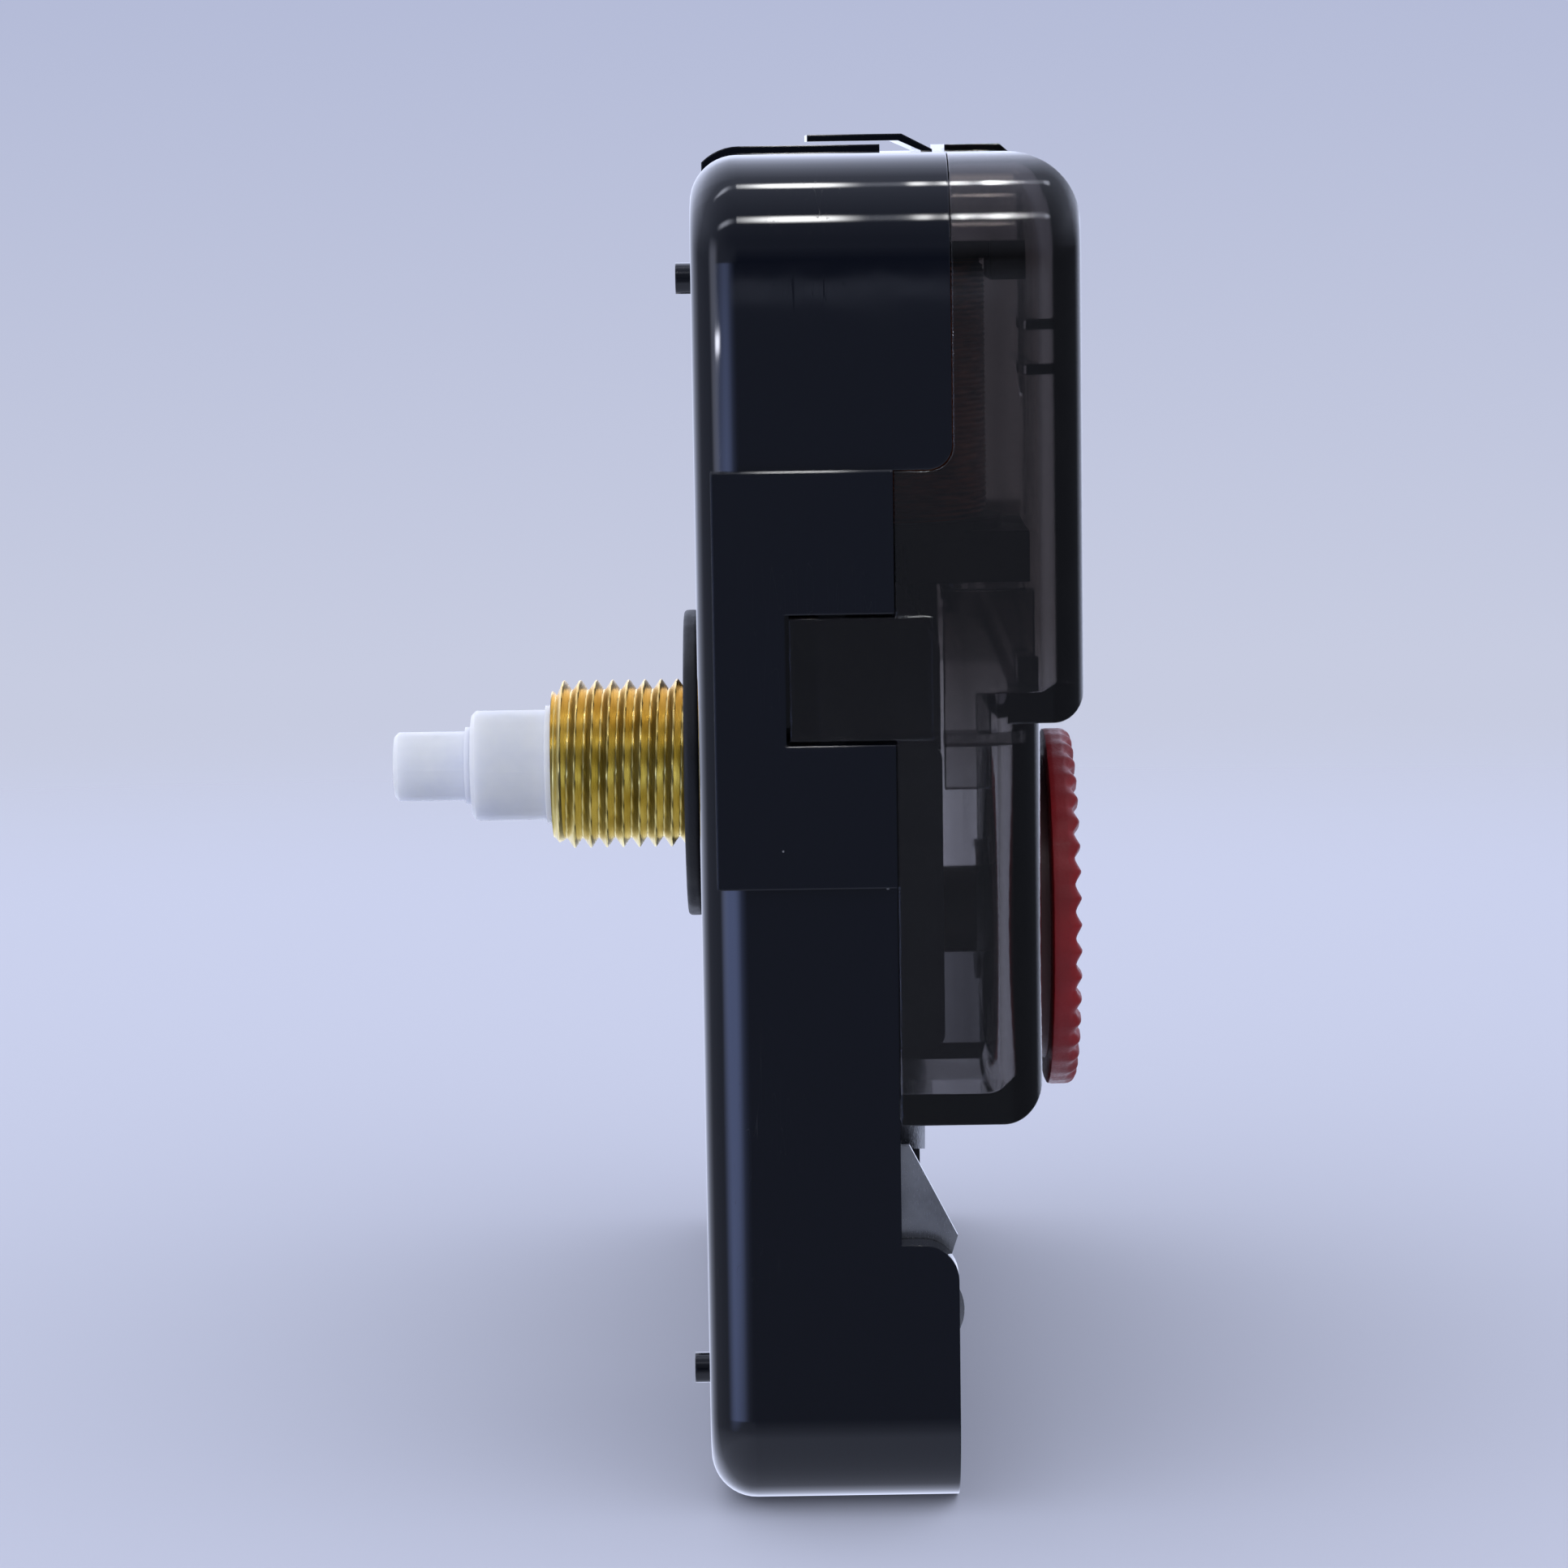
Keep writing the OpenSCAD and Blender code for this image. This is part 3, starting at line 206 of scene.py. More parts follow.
def smoked_polystyrene(name, colour, density):
    """Injection-moulded smoke-tinted polystyrene: clear and glossy, and darker the more of it the
    light crosses, so walls seen edge-on are nearly black. The deep part over the works is tinted
    darker. Lamps reach through it."""
    made, tree, place = new_finish(name)
    rough = spread(tree, noise(tree, place, 0.4, 3.0), 0.3, 0.7, 0.02, 0.07)
    waves = dents(tree, noise(tree, place, 0.3, 1.0), 0.003, soft_edges(tree, 0.1))
    height = add(tree, "ShaderNodeSeparateXYZ", None, Vector=place).outputs["Z"]
    # the deep part over the works is tinted darker, from 3 mm to 9 mm up
    deep_tint = blend_colours(tree, spread(tree, height, 3.0, 9.0), linear("#ffffff"), linear("#bbb4b0"))
    glass = add(
        tree, "ShaderNodeBsdfPrincipled",
        {"Transmission Weight": 1.0, "IOR": 1.57, "Coat Weight": 0.2, "Coat Roughness": 0.04},
        Base_Color=deep_tint, Roughness=rough, Normal=waves,
    )
    clear = add(tree, "ShaderNodeBsdfTransparent", {"Color": (0.55, 0.54, 0.55, 1.0)})
    ray = add(tree, "ShaderNodeLightPath")
    seen = add(tree, "ShaderNodeMixShader", None, Fac=ray.outputs["Is Shadow Ray"])
    tree.links.new(glass.outputs["BSDF"], seen.inputs[1])
    tree.links.new(clear.outputs["BSDF"], seen.inputs[2])
    smoke = add(tree, "ShaderNodeVolumeAbsorption", {"Color": colour, "Density": density})
    add(
        tree, "ShaderNodeOutputMaterial", Surface=seen.outputs["Shader"],
        Volume=smoke.outputs["Volume"],
    )
    return made


def turned_brass(name, colour):
    """Lathe-turned brass with a rolled thread: warm yellow metal with fine turning marks that run
    round, tarnished in patches. Its top side is painted a redder gold: a painted warm highlight."""
    made, tree, place = new_finish(name)
    marks = noise(tree, place, 1.0, 2.0, stretch=(0.3, 22.0, 0.3))
    tarnish = spread(tree, noise(tree, place, 0.6, 4.0), 0.35, 0.7)
    worn = blend_colours(tree, tarnish, colour, linear("#c9b35e"))
    height = add(tree, "ShaderNodeSeparateXYZ", None, Vector=place).outputs["Z"]
    # painted highlight: the top of the bushing is blended by height towards a redder gold
    warm_highlight_share = spread(tree, height, 1.0, 3.2, 0.0, 0.4)
    base = blend_colours(tree, warm_highlight_share, worn, linear("#e3a95c"))
    rough = spread(tree, marks, 0.3, 0.7, 0.22, 0.38)
    return close_finish(
        made, tree, {"Metallic": 1.0}, Base_Color=base, Roughness=rough,
        Normal=dents(tree, marks, 0.006),
    )


def moulded_rubber(name, colour):
    """Moulded nitrile rubber: dull black with a slight bloom and a fine grain."""
    made, tree, place = new_finish(name)
    bloom = spread(tree, noise(tree, place, 0.8, 3.0), 0.35, 0.7)
    base = blend_colours(tree, bloom, colour, linear("#15171c"))
    grain = dents(tree, noise(tree, place, 9.0, 2.0), 0.01)
    return close_finish(
        made, tree, {"IOR": 1.52}, Base_Color=base,
        Roughness=spread(tree, bloom, 0, 1, 0.5, 0.68), Normal=grain,
    )


def moulded_acetal(name, colour, scatter, rough=0.34, reach_mm=0.6):
    """Moulded acetal: milky, waxy plastic that light enters by about reach_mm."""
    made, tree, place = new_finish(name)
    milk = spread(tree, noise(tree, place, 0.7, 2.0), 0.3, 0.7, 0.0, 0.35)
    base = blend_colours(tree, milk, colour, linear("#d0d7f0"))
    fine = noise(tree, place, 6.0, 2.0)
    return close_finish(
        made, tree,
        {
            "IOR": 1.48, "Subsurface Weight": scatter, "Subsurface Scale": reach_mm * MM,
            "Subsurface Radius": (1.0, 1.0, 1.1),
        },
        Base_Color=base, Roughness=spread(tree, fine, 0.3, 0.7, rough - 0.05, rough + 0.07),
        Normal=dents(tree, fine, 0.002, soft_edges(tree, 0.05)),
    )


def red_abs(name, colour, deep, shaded_collar_mm=None):
    """Moulded red ABS from a lightly sparked tool: strong dull red with a soft sheen, a little
    darker in patches where it has been handled. In front of the depth shaded_collar_mm it is painted a
    dull brown: painted shade on the collar under the rim."""
    made, tree, place = new_finish(name)
    worn = spread(tree, noise(tree, place, 0.5, 3.0), 0.35, 0.7)
    grain = noise(tree, place, 7.0, 3.0)
    base = blend_colours(tree, worn, colour, deep)
    if shaded_collar_mm is not None:
        depth = add(tree, "ShaderNodeSeparateXYZ", None, Vector=place).outputs["Y"]
        shade = spread(tree, depth, shaded_collar_mm - 0.04, shaded_collar_mm + 0.04)
        # painted shade: the collar in front of this depth is painted a dull brown
        base = blend_colours(tree, shade, linear("#5a3a3a"), base)
    return close_finish(
        made, tree, {"IOR": 1.53, "Specular IOR Level": 0.3}, Base_Color=base,
        Roughness=spread(tree, grain, 0.3, 0.7, 0.36, 0.52),
        Normal=dents(tree, grain, 0.008, soft_edges(tree, 0.05)),
    )


def metal_strip(name, colour, dark, rough, along=(1, 1, 1)):
    """Rolled and plated sheet: bright metal with faint rolling lines and a few dull patches."""
    made, tree, place = new_finish(name)
    lines = noise(tree, place, 4.0, 2.0, stretch=along)
    patches = spread(tree, noise(tree, place, 0.5, 3.0), 0.4, 0.75)
    return close_finish(
        made, tree, {"Metallic": 1.0}, Base_Color=blend_colours(tree, patches, colour, dark),
        Roughness=spread(tree, lines, 0.3, 0.7, rough, rough + 0.14),
        Normal=dents(tree, lines, 0.003, soft_edges(tree, 0.04)),
    )


def enamelled_copper(name, colour):
    """Enamelled copper wire in close turns: brown metal under a thin clear skin."""
    made, tree, place = new_finish(name)
    shade = spread(tree, noise(tree, place, 1.5, 3.0, stretch=(0.4, 0.4, 3.0)), 0.3, 0.7)
    return close_finish(
        made, tree, {"Metallic": 0.75, "Coat Weight": 0.5, "Coat Roughness": 0.12},
        Base_Color=blend_colours(tree, shade, colour, linear("#5d2f18")),
        Roughness=spread(tree, shade, 0, 1, 0.3, 0.42),
    )


def sintered_ferrite(name, colour):
    """Pressed and sintered ferrite: dark grey, dull and slightly gritty."""
    made, tree, place = new_finish(name)
    grit = noise(tree, place, 10.0, 3.0)
    return close_finish(
        made, tree, {"IOR": 1.9},
        Base_Color=blend_colours(tree, spread(tree, grit, 0.3, 0.7), colour, linear("#5a5c62")),
        Roughness=spread(tree, grit, 0.3, 0.7, 0.45, 0.6), Normal=dents(tree, grit, 0.01),
    )


def paper_laminate(name, colour, track):
    """Phenolic paper board: brown-green sheet under lacquer with flat tinned tracks that run to
    its pads."""
    made, tree, place = new_finish(name)
    fibre = noise(tree, place, 1.2, 4.0, stretch=(3, 1, 1))
    grid = add(
        tree, "ShaderNodeTexWave",
        {"wave_type": "BANDS", "bands_direction": "X", "Scale": 0.16, "Distortion": 3.0,
         "Detail": 1.0, "Detail Scale": 0.4},
        Vector=place,
    )
    tracks = spread(tree, grid.outputs["Fac"], 0.8, 0.83)
    sheet = blend_colours(tree, spread(tree, fibre, 0.3, 0.7), colour, linear("#274a33"))
    return close_finish(
        made, tree, {"IOR": 1.55}, Base_Color=blend_colours(tree, tracks, sheet, track),
        Roughness=spread(tree, tracks, 0, 1, 0.4, 0.25), Normal=dents(tree, tracks, 0.035),
    )


def glazed_resin(name, colour, other, rough):
    """Cast epoxy or fired ceramic: smooth body with faint mottling under a soft shine."""
    made, tree, place = new_finish(name)
    mottle = spread(tree, noise(tree, place, 2.5, 3.0), 0.3, 0.7)
    return close_finish(
        made, tree, {"IOR": 1.55}, Base_Color=blend_colours(tree, mottle, colour, other),
        Roughness=spread(tree, mottle, 0, 1, rough, rough + 0.12),
        Normal=dents(tree, noise(tree, place, 1.5, 2.0), 0.01),
    )


def surface(name, points, around=True, along=False, crease=34):
    """A mesh through a grid of points. around joins the last column to the first, and along the
    last row to the first. Rows run along the profile and columns round it."""
    rows, columns = points.shape[:2]
    index = np.arange(rows * columns).reshape(rows, columns)
    down = np.vstack([index, index[:1]]) if along else index
    grid = np.hstack([down, down[:, :1]]) if around else down
    faces = np.stack([grid[:-1, :-1], grid[:-1, 1:], grid[1:, 1:], grid[1:, :-1]], axis=-1)
    mesh = bpy.data.meshes.new(name)
    mesh.from_pydata(points.reshape(-1, 3), [], faces.reshape(-1, 4))
    mesh.shade_smooth()
    mesh.set_sharp_from_angle(angle=math.radians(crease))
    mesh.validate()
    made = bpy.data.objects.new(name, mesh)
    bpy.context.scene.collection.objects.link(made)
    return made


def close_poles(piece):
    """Merges the collapsed rows at the axis and turns every face outwards."""
    import bmesh
    shape = bmesh.new()
    shape.from_mesh(piece.data)
    bmesh.ops.remove_doubles(shape, verts=shape.verts, dist=1e-7)
    bmesh.ops.recalc_face_normals(shape, faces=shape.faces)
    shape.to_mesh(piece.data)
    shape.free()


def settle(piece, body, slot, finish, *nodes):
    """Gives a new piece its material and body, and lets it stand for CAD nodes. The argument slot is not used."""
    close_poles(piece)
    piece.data.materials.append(finish)
    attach(piece, body)
    if nodes:
        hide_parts(*nodes)
    return piece


def turned(profile, centre, columns, ripple=None):
    """Points of a profile turned about the Y axis through centre. At row i and angle a the radius
    is the profile's radius plus ripple(a, y), where the profile is pairs of radius and y."""
    profile = np.asarray(profile, float)
    angle = np.linspace(0, 2 * np.pi, columns, endpoint=False)
    radius = np.repeat(profile[:, :1], columns, axis=1)
    y = np.repeat(profile[:, 1:2], columns, axis=1)
    if ripple is not None:
        radius = radius + ripple(angle[None, :], y)
    return np.stack(
        [centre[0] + radius * np.cos(angle), y, centre[2] + radius * np.sin(angle)], axis=-1
    )


def rounded(corners, radius, steps=5):
    """A closed outline through corners with each corner rounded: a quadratic curve that leaves
    one side and joins the next at radius from the corner."""
    corners = np.asarray(corners, float)
    before, after = np.roll(corners, 1, axis=0), np.roll(corners, -1, axis=0)
    into, out = before - corners, after - corners
    reach_in, reach_out = np.linalg.norm(into, axis=1), np.linalg.norm(out, axis=1)
    start = corners + into / reach_in[:, None] * np.minimum(radius, reach_in / 2.2)[:, None]
    end = corners + out / reach_out[:, None] * np.minimum(radius, reach_out / 2.2)[:, None]
    t = np.linspace(0, 1, steps)[None, :, None]
    curve = (1 - t) ** 2 * start[:, None] + 2 * t * (1 - t) * corners[:, None] + t**2 * end[:, None]
    return curve.reshape(-1, 2)


class MovementSizes(bpy.types.PropertyGroup):
    """Sizes of the pieces that are made here."""

    pitch: bpy.props.FloatProperty(
        name="Thread pitch", description="Distance between the thread's crests",
        default=0.75 * MM, min=0.5 * MM, max=1.25 * MM, unit="LENGTH", precision=5,
    )
    thread_depth: bpy.props.FloatProperty(
        name="Thread depth", description="Height of the thread from root to crest",
        default=0.44 * MM, min=0.2 * MM, max=0.6 * MM, unit="LENGTH", precision=5,
    )
    knob_teeth: bpy.props.IntProperty(
        name="Knob teeth", description="Teeth round the setting knob's rim", default=41,
        min=24, max=48,
    )
    tooth_depth: bpy.props.FloatProperty(
        name="Tooth depth", description="Depth of the knob's teeth",
        default=0.36 * MM, min=0.2 * MM, max=0.7 * MM, unit="LENGTH", precision=5,
    )
    wire: bpy.props.FloatProperty(
        name="Wire spacing", description="Distance between the coil's turns as they are drawn",
        default=0.22 * MM, min=0.1 * MM, max=0.4 * MM, unit="LENGTH", precision=5,
    )
    smoke: bpy.props.FloatProperty(
        name="Smoke", description="How strongly the cover darkens light, for each metre",
        default=720.0, min=100.0, max=2000.0,
    )


class MovementColours(bpy.types.PropertyGroup):
    """Colours of the movement's finishes."""

    case: bpy.props.FloatVectorProperty(
        name="Case", description="Black of the moulded case", subtype="COLOR", size=4,
        default=linear("#070a13"), min=0, max=1,
    )
    cover: bpy.props.FloatVectorProperty(
        name="Cover", description="Tint of the smoked cover", subtype="COLOR", size=4,
        default=linear("#807878"), min=0, max=1,
    )
    brass: bpy.props.FloatVectorProperty(
        name="Brass", description="Colour of the threaded bushing", subtype="COLOR", size=4,
        default=linear("#ead88c"), min=0, max=1,
    )
    knob: bpy.props.FloatVectorProperty(
        name="Knob", description="Red of the setting knob", subtype="COLOR", size=4,
        default=linear("#7a0d14"), min=0, max=1,
    )
    shaft: bpy.props.FloatVectorProperty(
        name="Shafts", description="Milky white of the hand arbors", subtype="COLOR", size=4,
        default=linear("#e5eaff"), min=0, max=1,
    )
    studio: bpy.props.FloatVectorProperty(
        name="Studio", description="Pale colour of the floor and backdrop", subtype="COLOR",
        size=4, default=linear("#c5cadc"), min=0, max=1,
    )


def node_finishes(colours, sizes):
    """Every finish of the movement by its name. The order is the order in which they are made."""
    return {
        "case": gloss_abs("gloss black ABS", tuple(colours.case), 0.02, 0.045),
        "cover": smoked_polystyrene("smoked polystyrene", tuple(colours.cover), sizes.smoke),
        "brass": turned_brass("turned brass", tuple(colours.brass)),
        "rubber": moulded_rubber("nitrile rubber", linear("#090a0d")),
        "shaft": moulded_acetal("white acetal", tuple(colours.shaft), 1.0, 0.38, 1.4),
        "wheel": moulded_acetal("natural acetal", linear("#e3e0d4"), 0.3, 0.38),
        "bronze": metal_strip("phosphor bronze", linear("#c98d52"), linear("#9a6434"), 0.25),
        "stem": red_abs("dark red ABS", linear("#2c0a0c"), linear("#1e0708")),
        "knob": red_abs(
            "red ABS", tuple(colours.knob), linear("#6c0b12"),
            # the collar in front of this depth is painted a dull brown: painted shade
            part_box("setting_knob")[0].y / MM + COLLAR,
        ),
        "steel": metal_strip("spring steel", linear("#b9bcc2"), linear("#8a8d94"), 0.2),
        "ferrite": sintered_ferrite("sintered ferrite", linear("#3a3c41")),
        "iron": metal_strip(
            "annealed nickel iron", linear("#a9a69f"), linear("#85827c"), 0.32, (1, 1, 6)
        ),
        "nylon": gloss_abs("glass-filled nylon", linear("#191412"), 0.35, 0.5, 0.0),
        "copper": enamelled_copper("enamelled copper", linear("#a45a30")),
        "bridge": gloss_abs("black bridge ABS", linear("#101217"), 0.2, 0.32, 0.0),
        "board": paper_laminate("phenolic board", linear("#2f5a3c"), linear("#8f8a6a")),
        "resin": glazed_resin("epoxy blob", linear("#0c0d10"), linear("#17181c"), 0.18),
        "can": metal_strip("nickel-plated can", linear("#c8cacd"), linear("#9da0a5"), 0.16),
        "ceramic": glazed_resin("fired ceramic", linear("#a97a4c"), linear("#8e6238"), 0.35),
        "strip": metal_strip(
            "nickel-plated strip", linear("#cfd1d4"), linear("#a4a6aa"), 0.14, (1, 6, 1)
        ),
    }


NODE_FINISH = {
    "front_case": "case", "battery_bay": "case", "rear_cover": "cover",
    "retaining_ring": "steel", "minute_arbor": "shaft", "cannon_pinion": "wheel",
    "hour_pipe": "shaft", "hour_wheel": "wheel", "clutch_spring": "bronze",
    "centre_wheel": "wheel", "reverse_minute_wheel": "wheel", "setting_stem": "stem",
    "third_wheel": "wheel", "second_arbor": "steel", "second_wheel": "wheel",
    "intermediate_wheel": "wheel", "rotor_pinion": "wheel", "rotor_magnet": "ferrite",
    "stator_plate": "iron", "coil_core": "iron", "coil_bobbin": "nylon", "coil_terminals": "strip",
    "train_bridge": "bridge", "circuit_board": "board", "chip_blob": "resin",
    "crystal_can": "can", "chip_capacitor": "ceramic", "contact_positive": "strip",
    "contact_negative": "strip",
}
FINISHES = {}


class MOVEMENT_OT_finish_nodes(bpy.types.Operator):
    """Gives every solid of the movement its finish"""

    bl_idname = "movement.finish_nodes"
    bl_label = "Finish the solids"

    def execute(self, context):
        scene = context.scene
        FINISHES.update(node_finishes(scene.movement_colours, scene.movement_sizes))
        for node, finish in NODE_FINISH.items():
            slots = frame["nodes"][node].data.materials
            slots.clear()
            slots.append(FINISHES[finish])
        return {"FINISHED"}


class MOVEMENT_OT_add_bushing(bpy.types.Operator):
    """Adds the brass bushing with its rolled M8 x 0.75 thread

    The thread is r = crest - depth * groove(y / pitch + angle / turn), where groove rises and
    falls in straight flanks between a narrow flat crest and a narrow flat root."""

    bl_idname = "movement.add_bushing"
    bl_label = "Threaded bushing"

    def execute(self, context):
        sizes = context.scene.movement_sizes
        low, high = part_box("thread_bushing")
        shank = (high.x - low.x) / 2
        crest = MOUNTS["thread"]["dims"]["r_mm"] * MM
        bore = crest - 1.18 * MM
        chamfer, edge, run_out = 0.5 * MM, 0.25 * MM, 0.3 * MM
        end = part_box("dial_gasket")[0].y + run_out
        rows = np.linspace(low.y, end, 180)
        outer = np.stack([crest - np.clip(low.y + chamfer - rows, 0, chamfer), rows], axis=1)
        inner = [
            (shank, end + 0.02 * MM), (shank, high.y), (bore, high.y), (bore, low.y + edge),
            (bore + edge, low.y),
        ]
        profile = np.vstack([outer, inner])
        threaded = (np.arange(len(profile)) < len(outer))[:, None]

        def groove(angle, y):
            turns = (y - low.y) / sizes.pitch - angle / (2 * np.pi)
            flank = np.clip(np.abs(2 * (turns % 1) - 1) * 1.25 - 0.12, 0, 1)
            fade = np.clip((y - low.y) / edge, 0, 1) * np.clip((end - y) / run_out, 0, 1)
            return -sizes.thread_depth * flank * fade * threaded

        points = turned(profile, (0, 0, 0), 144, groove)
        piece = surface("bushing_thread", points, along=True, crease=28)
        settle(piece, "housing", "brass", FINISHES["brass"], "thread_bushing")
        return {"FINISHED"}


class MOVEMENT_OT_add_gasket(bpy.types.Operator):
    """Adds the rubber gasket: a flat ring with rounded edges, r and y on a rounded rectangle"""

    bl_idname = "movement.add_gasket"
    bl_label = "Dial gasket"

    def execute(self, context):
        low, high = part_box("dial_gasket")
        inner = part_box("thread_bushing")[1].x + 0.05 * MM
        outline = rounded(
            [(inner, low.y), (high.x, low.y), (high.x, high.y), (inner, high.y)], 0.22 * MM
        )
        points = turned(outline, (0, 0, 0), 96, lambda a, y: 0.03 * MM * np.sin(3 * a + 1))
        piece = surface("gasket_ring", points, along=True)
        settle(piece, "housing", "rubber", FINISHES["rubber"], "dial_gasket")
        return {"FINISHED"}


class MOVEMENT_OT_add_knob(bpy.types.Operator):
    """Adds the red setting knob

    Two profiles are turned about the axis, one over the teeth's crests and one in their grooves.
    The surface lies between them at crest * (1 - w) + groove * w, where w is a triangular wave with
    one period for each tooth, turned by the share phase of a tooth. The grooves deepen from the
    rim's front edge to its raised rear edge and end inside the dished rear face."""

    bl_idname = "movement.add_knob"
    bl_label = "Setting knob"
    phase = 0.17

    def execute(self, context):
        sizes = context.scene.movement_sizes
        low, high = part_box("setting_knob")
        centre = PIVOTS["knob"]
        rim = (high.x - low.x) / 2 / MM
        hub, bore, turn, dish = 6.5, 1.86, 0.45, 0.4
        front, back = low.y / MM, high.y / MM
        seat = front + COLLAR
        bend = np.linspace(0, np.pi / 2, 8)
        side = np.linspace(seat + 0.25, back - turn - 0.05, 7)
        collar = [
            (bore, front, 0), (hub - 0.1, front, 0), (hub, front + 0.08, 0), (hub, seat, 0),
            (rim - 0.2, seat, 0), (rim - 0.03, seat + 0.08, 0.05),
        ]
        depth = 0.04 + 0.3 * ((side - seat) / (back - seat)) ** 2
        flank = np.stack([np.full(len(side), rim), side, depth], axis=1)
        across, up = turn * (1 - np.cos(bend)), turn * (1 - np.sin(bend))
        corner = np.stack([rim - across, back - up, 0.28 + 0.62 * bend / (np.pi / 2)], axis=1)
        rear = [
            (rim - 0.6, back, 1), (rim - 0.85, back - 0.02, 0.9), (rim - 1.1, back - 0.14, 0.6),
            (rim - 1.35, back - 0.32, 0.2), (rim - 1.6, back - dish, 0),
            (3.2, back - dish - 0.02, 0), (2.9, back - dish, 0), (2.6, back - dish + 0.06, 0),
            (0.8, back - dish + 0.06, 0), (0, back - dish + 0.06, 0),
        ]
        rows = np.vstack([collar, flank, corner, rear])
        crest, share = rows[:, :2] * MM, rows[:, 2:]
        along = np.gradient(crest, axis=0)
        along /= np.linalg.norm(along, axis=1)[:, None]
        outward = np.stack([along[:, 1], -along[:, 0]], axis=1)
        groove = crest - sizes.tooth_depth * share * outward
        columns = sizes.knob_teeth * 14
        angle = np.linspace(0, 2 * np.pi, columns, endpoint=False)
        wave = np.abs(2 * ((sizes.knob_teeth * angle / (2 * np.pi) + self.phase) % 1) - 1)
        wave = (0.75 * wave + 0.25 * (0.5 - 0.5 * np.cos(np.pi * wave)))[None, :, None]
        points = turned(crest, centre, columns) * (1 - wave) + turned(groove, centre, columns) * wave
        floor = low.y + 0.9 * MM
        well = turned([(0, floor), (bore * MM, floor)], centre, columns)
        piece = surface("knob_grip", np.vstack([well, points]), crease=50)
        settle(piece, "knob", "red_plastic", FINISHES["knob"], "setting_knob")
        return {"FINISHED"}


class MOVEMENT_OT_add_winding(bpy.types.Operator):
    """Adds the coil's winding

    The radius is r = barrel(z) - 0.35 * wire * |sin(pi * z / wire)|: turns of wire side by side on
    a barrel that falls away by a few hundredths at each end. The real wire is hair-thin, so the
    turns are drawn coarser than they are."""

    bl_idname = "movement.add_winding"
    bl_label = "Coil winding"

    def execute(self, context):
        wire = context.scene.movement_sizes.wire
        low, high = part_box("coil_winding")
        axis = (low + high) / 2
        crest, core = (high.x - low.x) / 2, 2.5 * MM
        z = np.linspace(low.z, high.z, int((high.z - low.z) / wire * 6))
        inset = np.clip(1 - np.minimum(z - low.z, high.z - z) / (0.6 * MM), 0, 1) ** 2 * 0.25 * MM
        radius = crest - inset - 0.35 * wire * np.abs(np.sin(np.pi * (z - low.z) / wire))
        z = np.concatenate([z, [high.z, low.z]])
        radius = np.concatenate([radius, [core, core]])
        angle = np.linspace(0, 2 * np.pi, 72, endpoint=False)
        points = np.stack(
            [
                axis.x + radius[:, None] * np.cos(angle),
                axis.y + radius[:, None] * np.sin(angle),
                np.repeat(z[:, None], 72, axis=1),
            ],
            axis=-1,
        )
        piece = surface("coil_turns", points, along=True, crease=60)
        settle(piece, "housing", "copper_wire", FINISHES["copper"], "coil_winding")
        return {"FINISHED"}


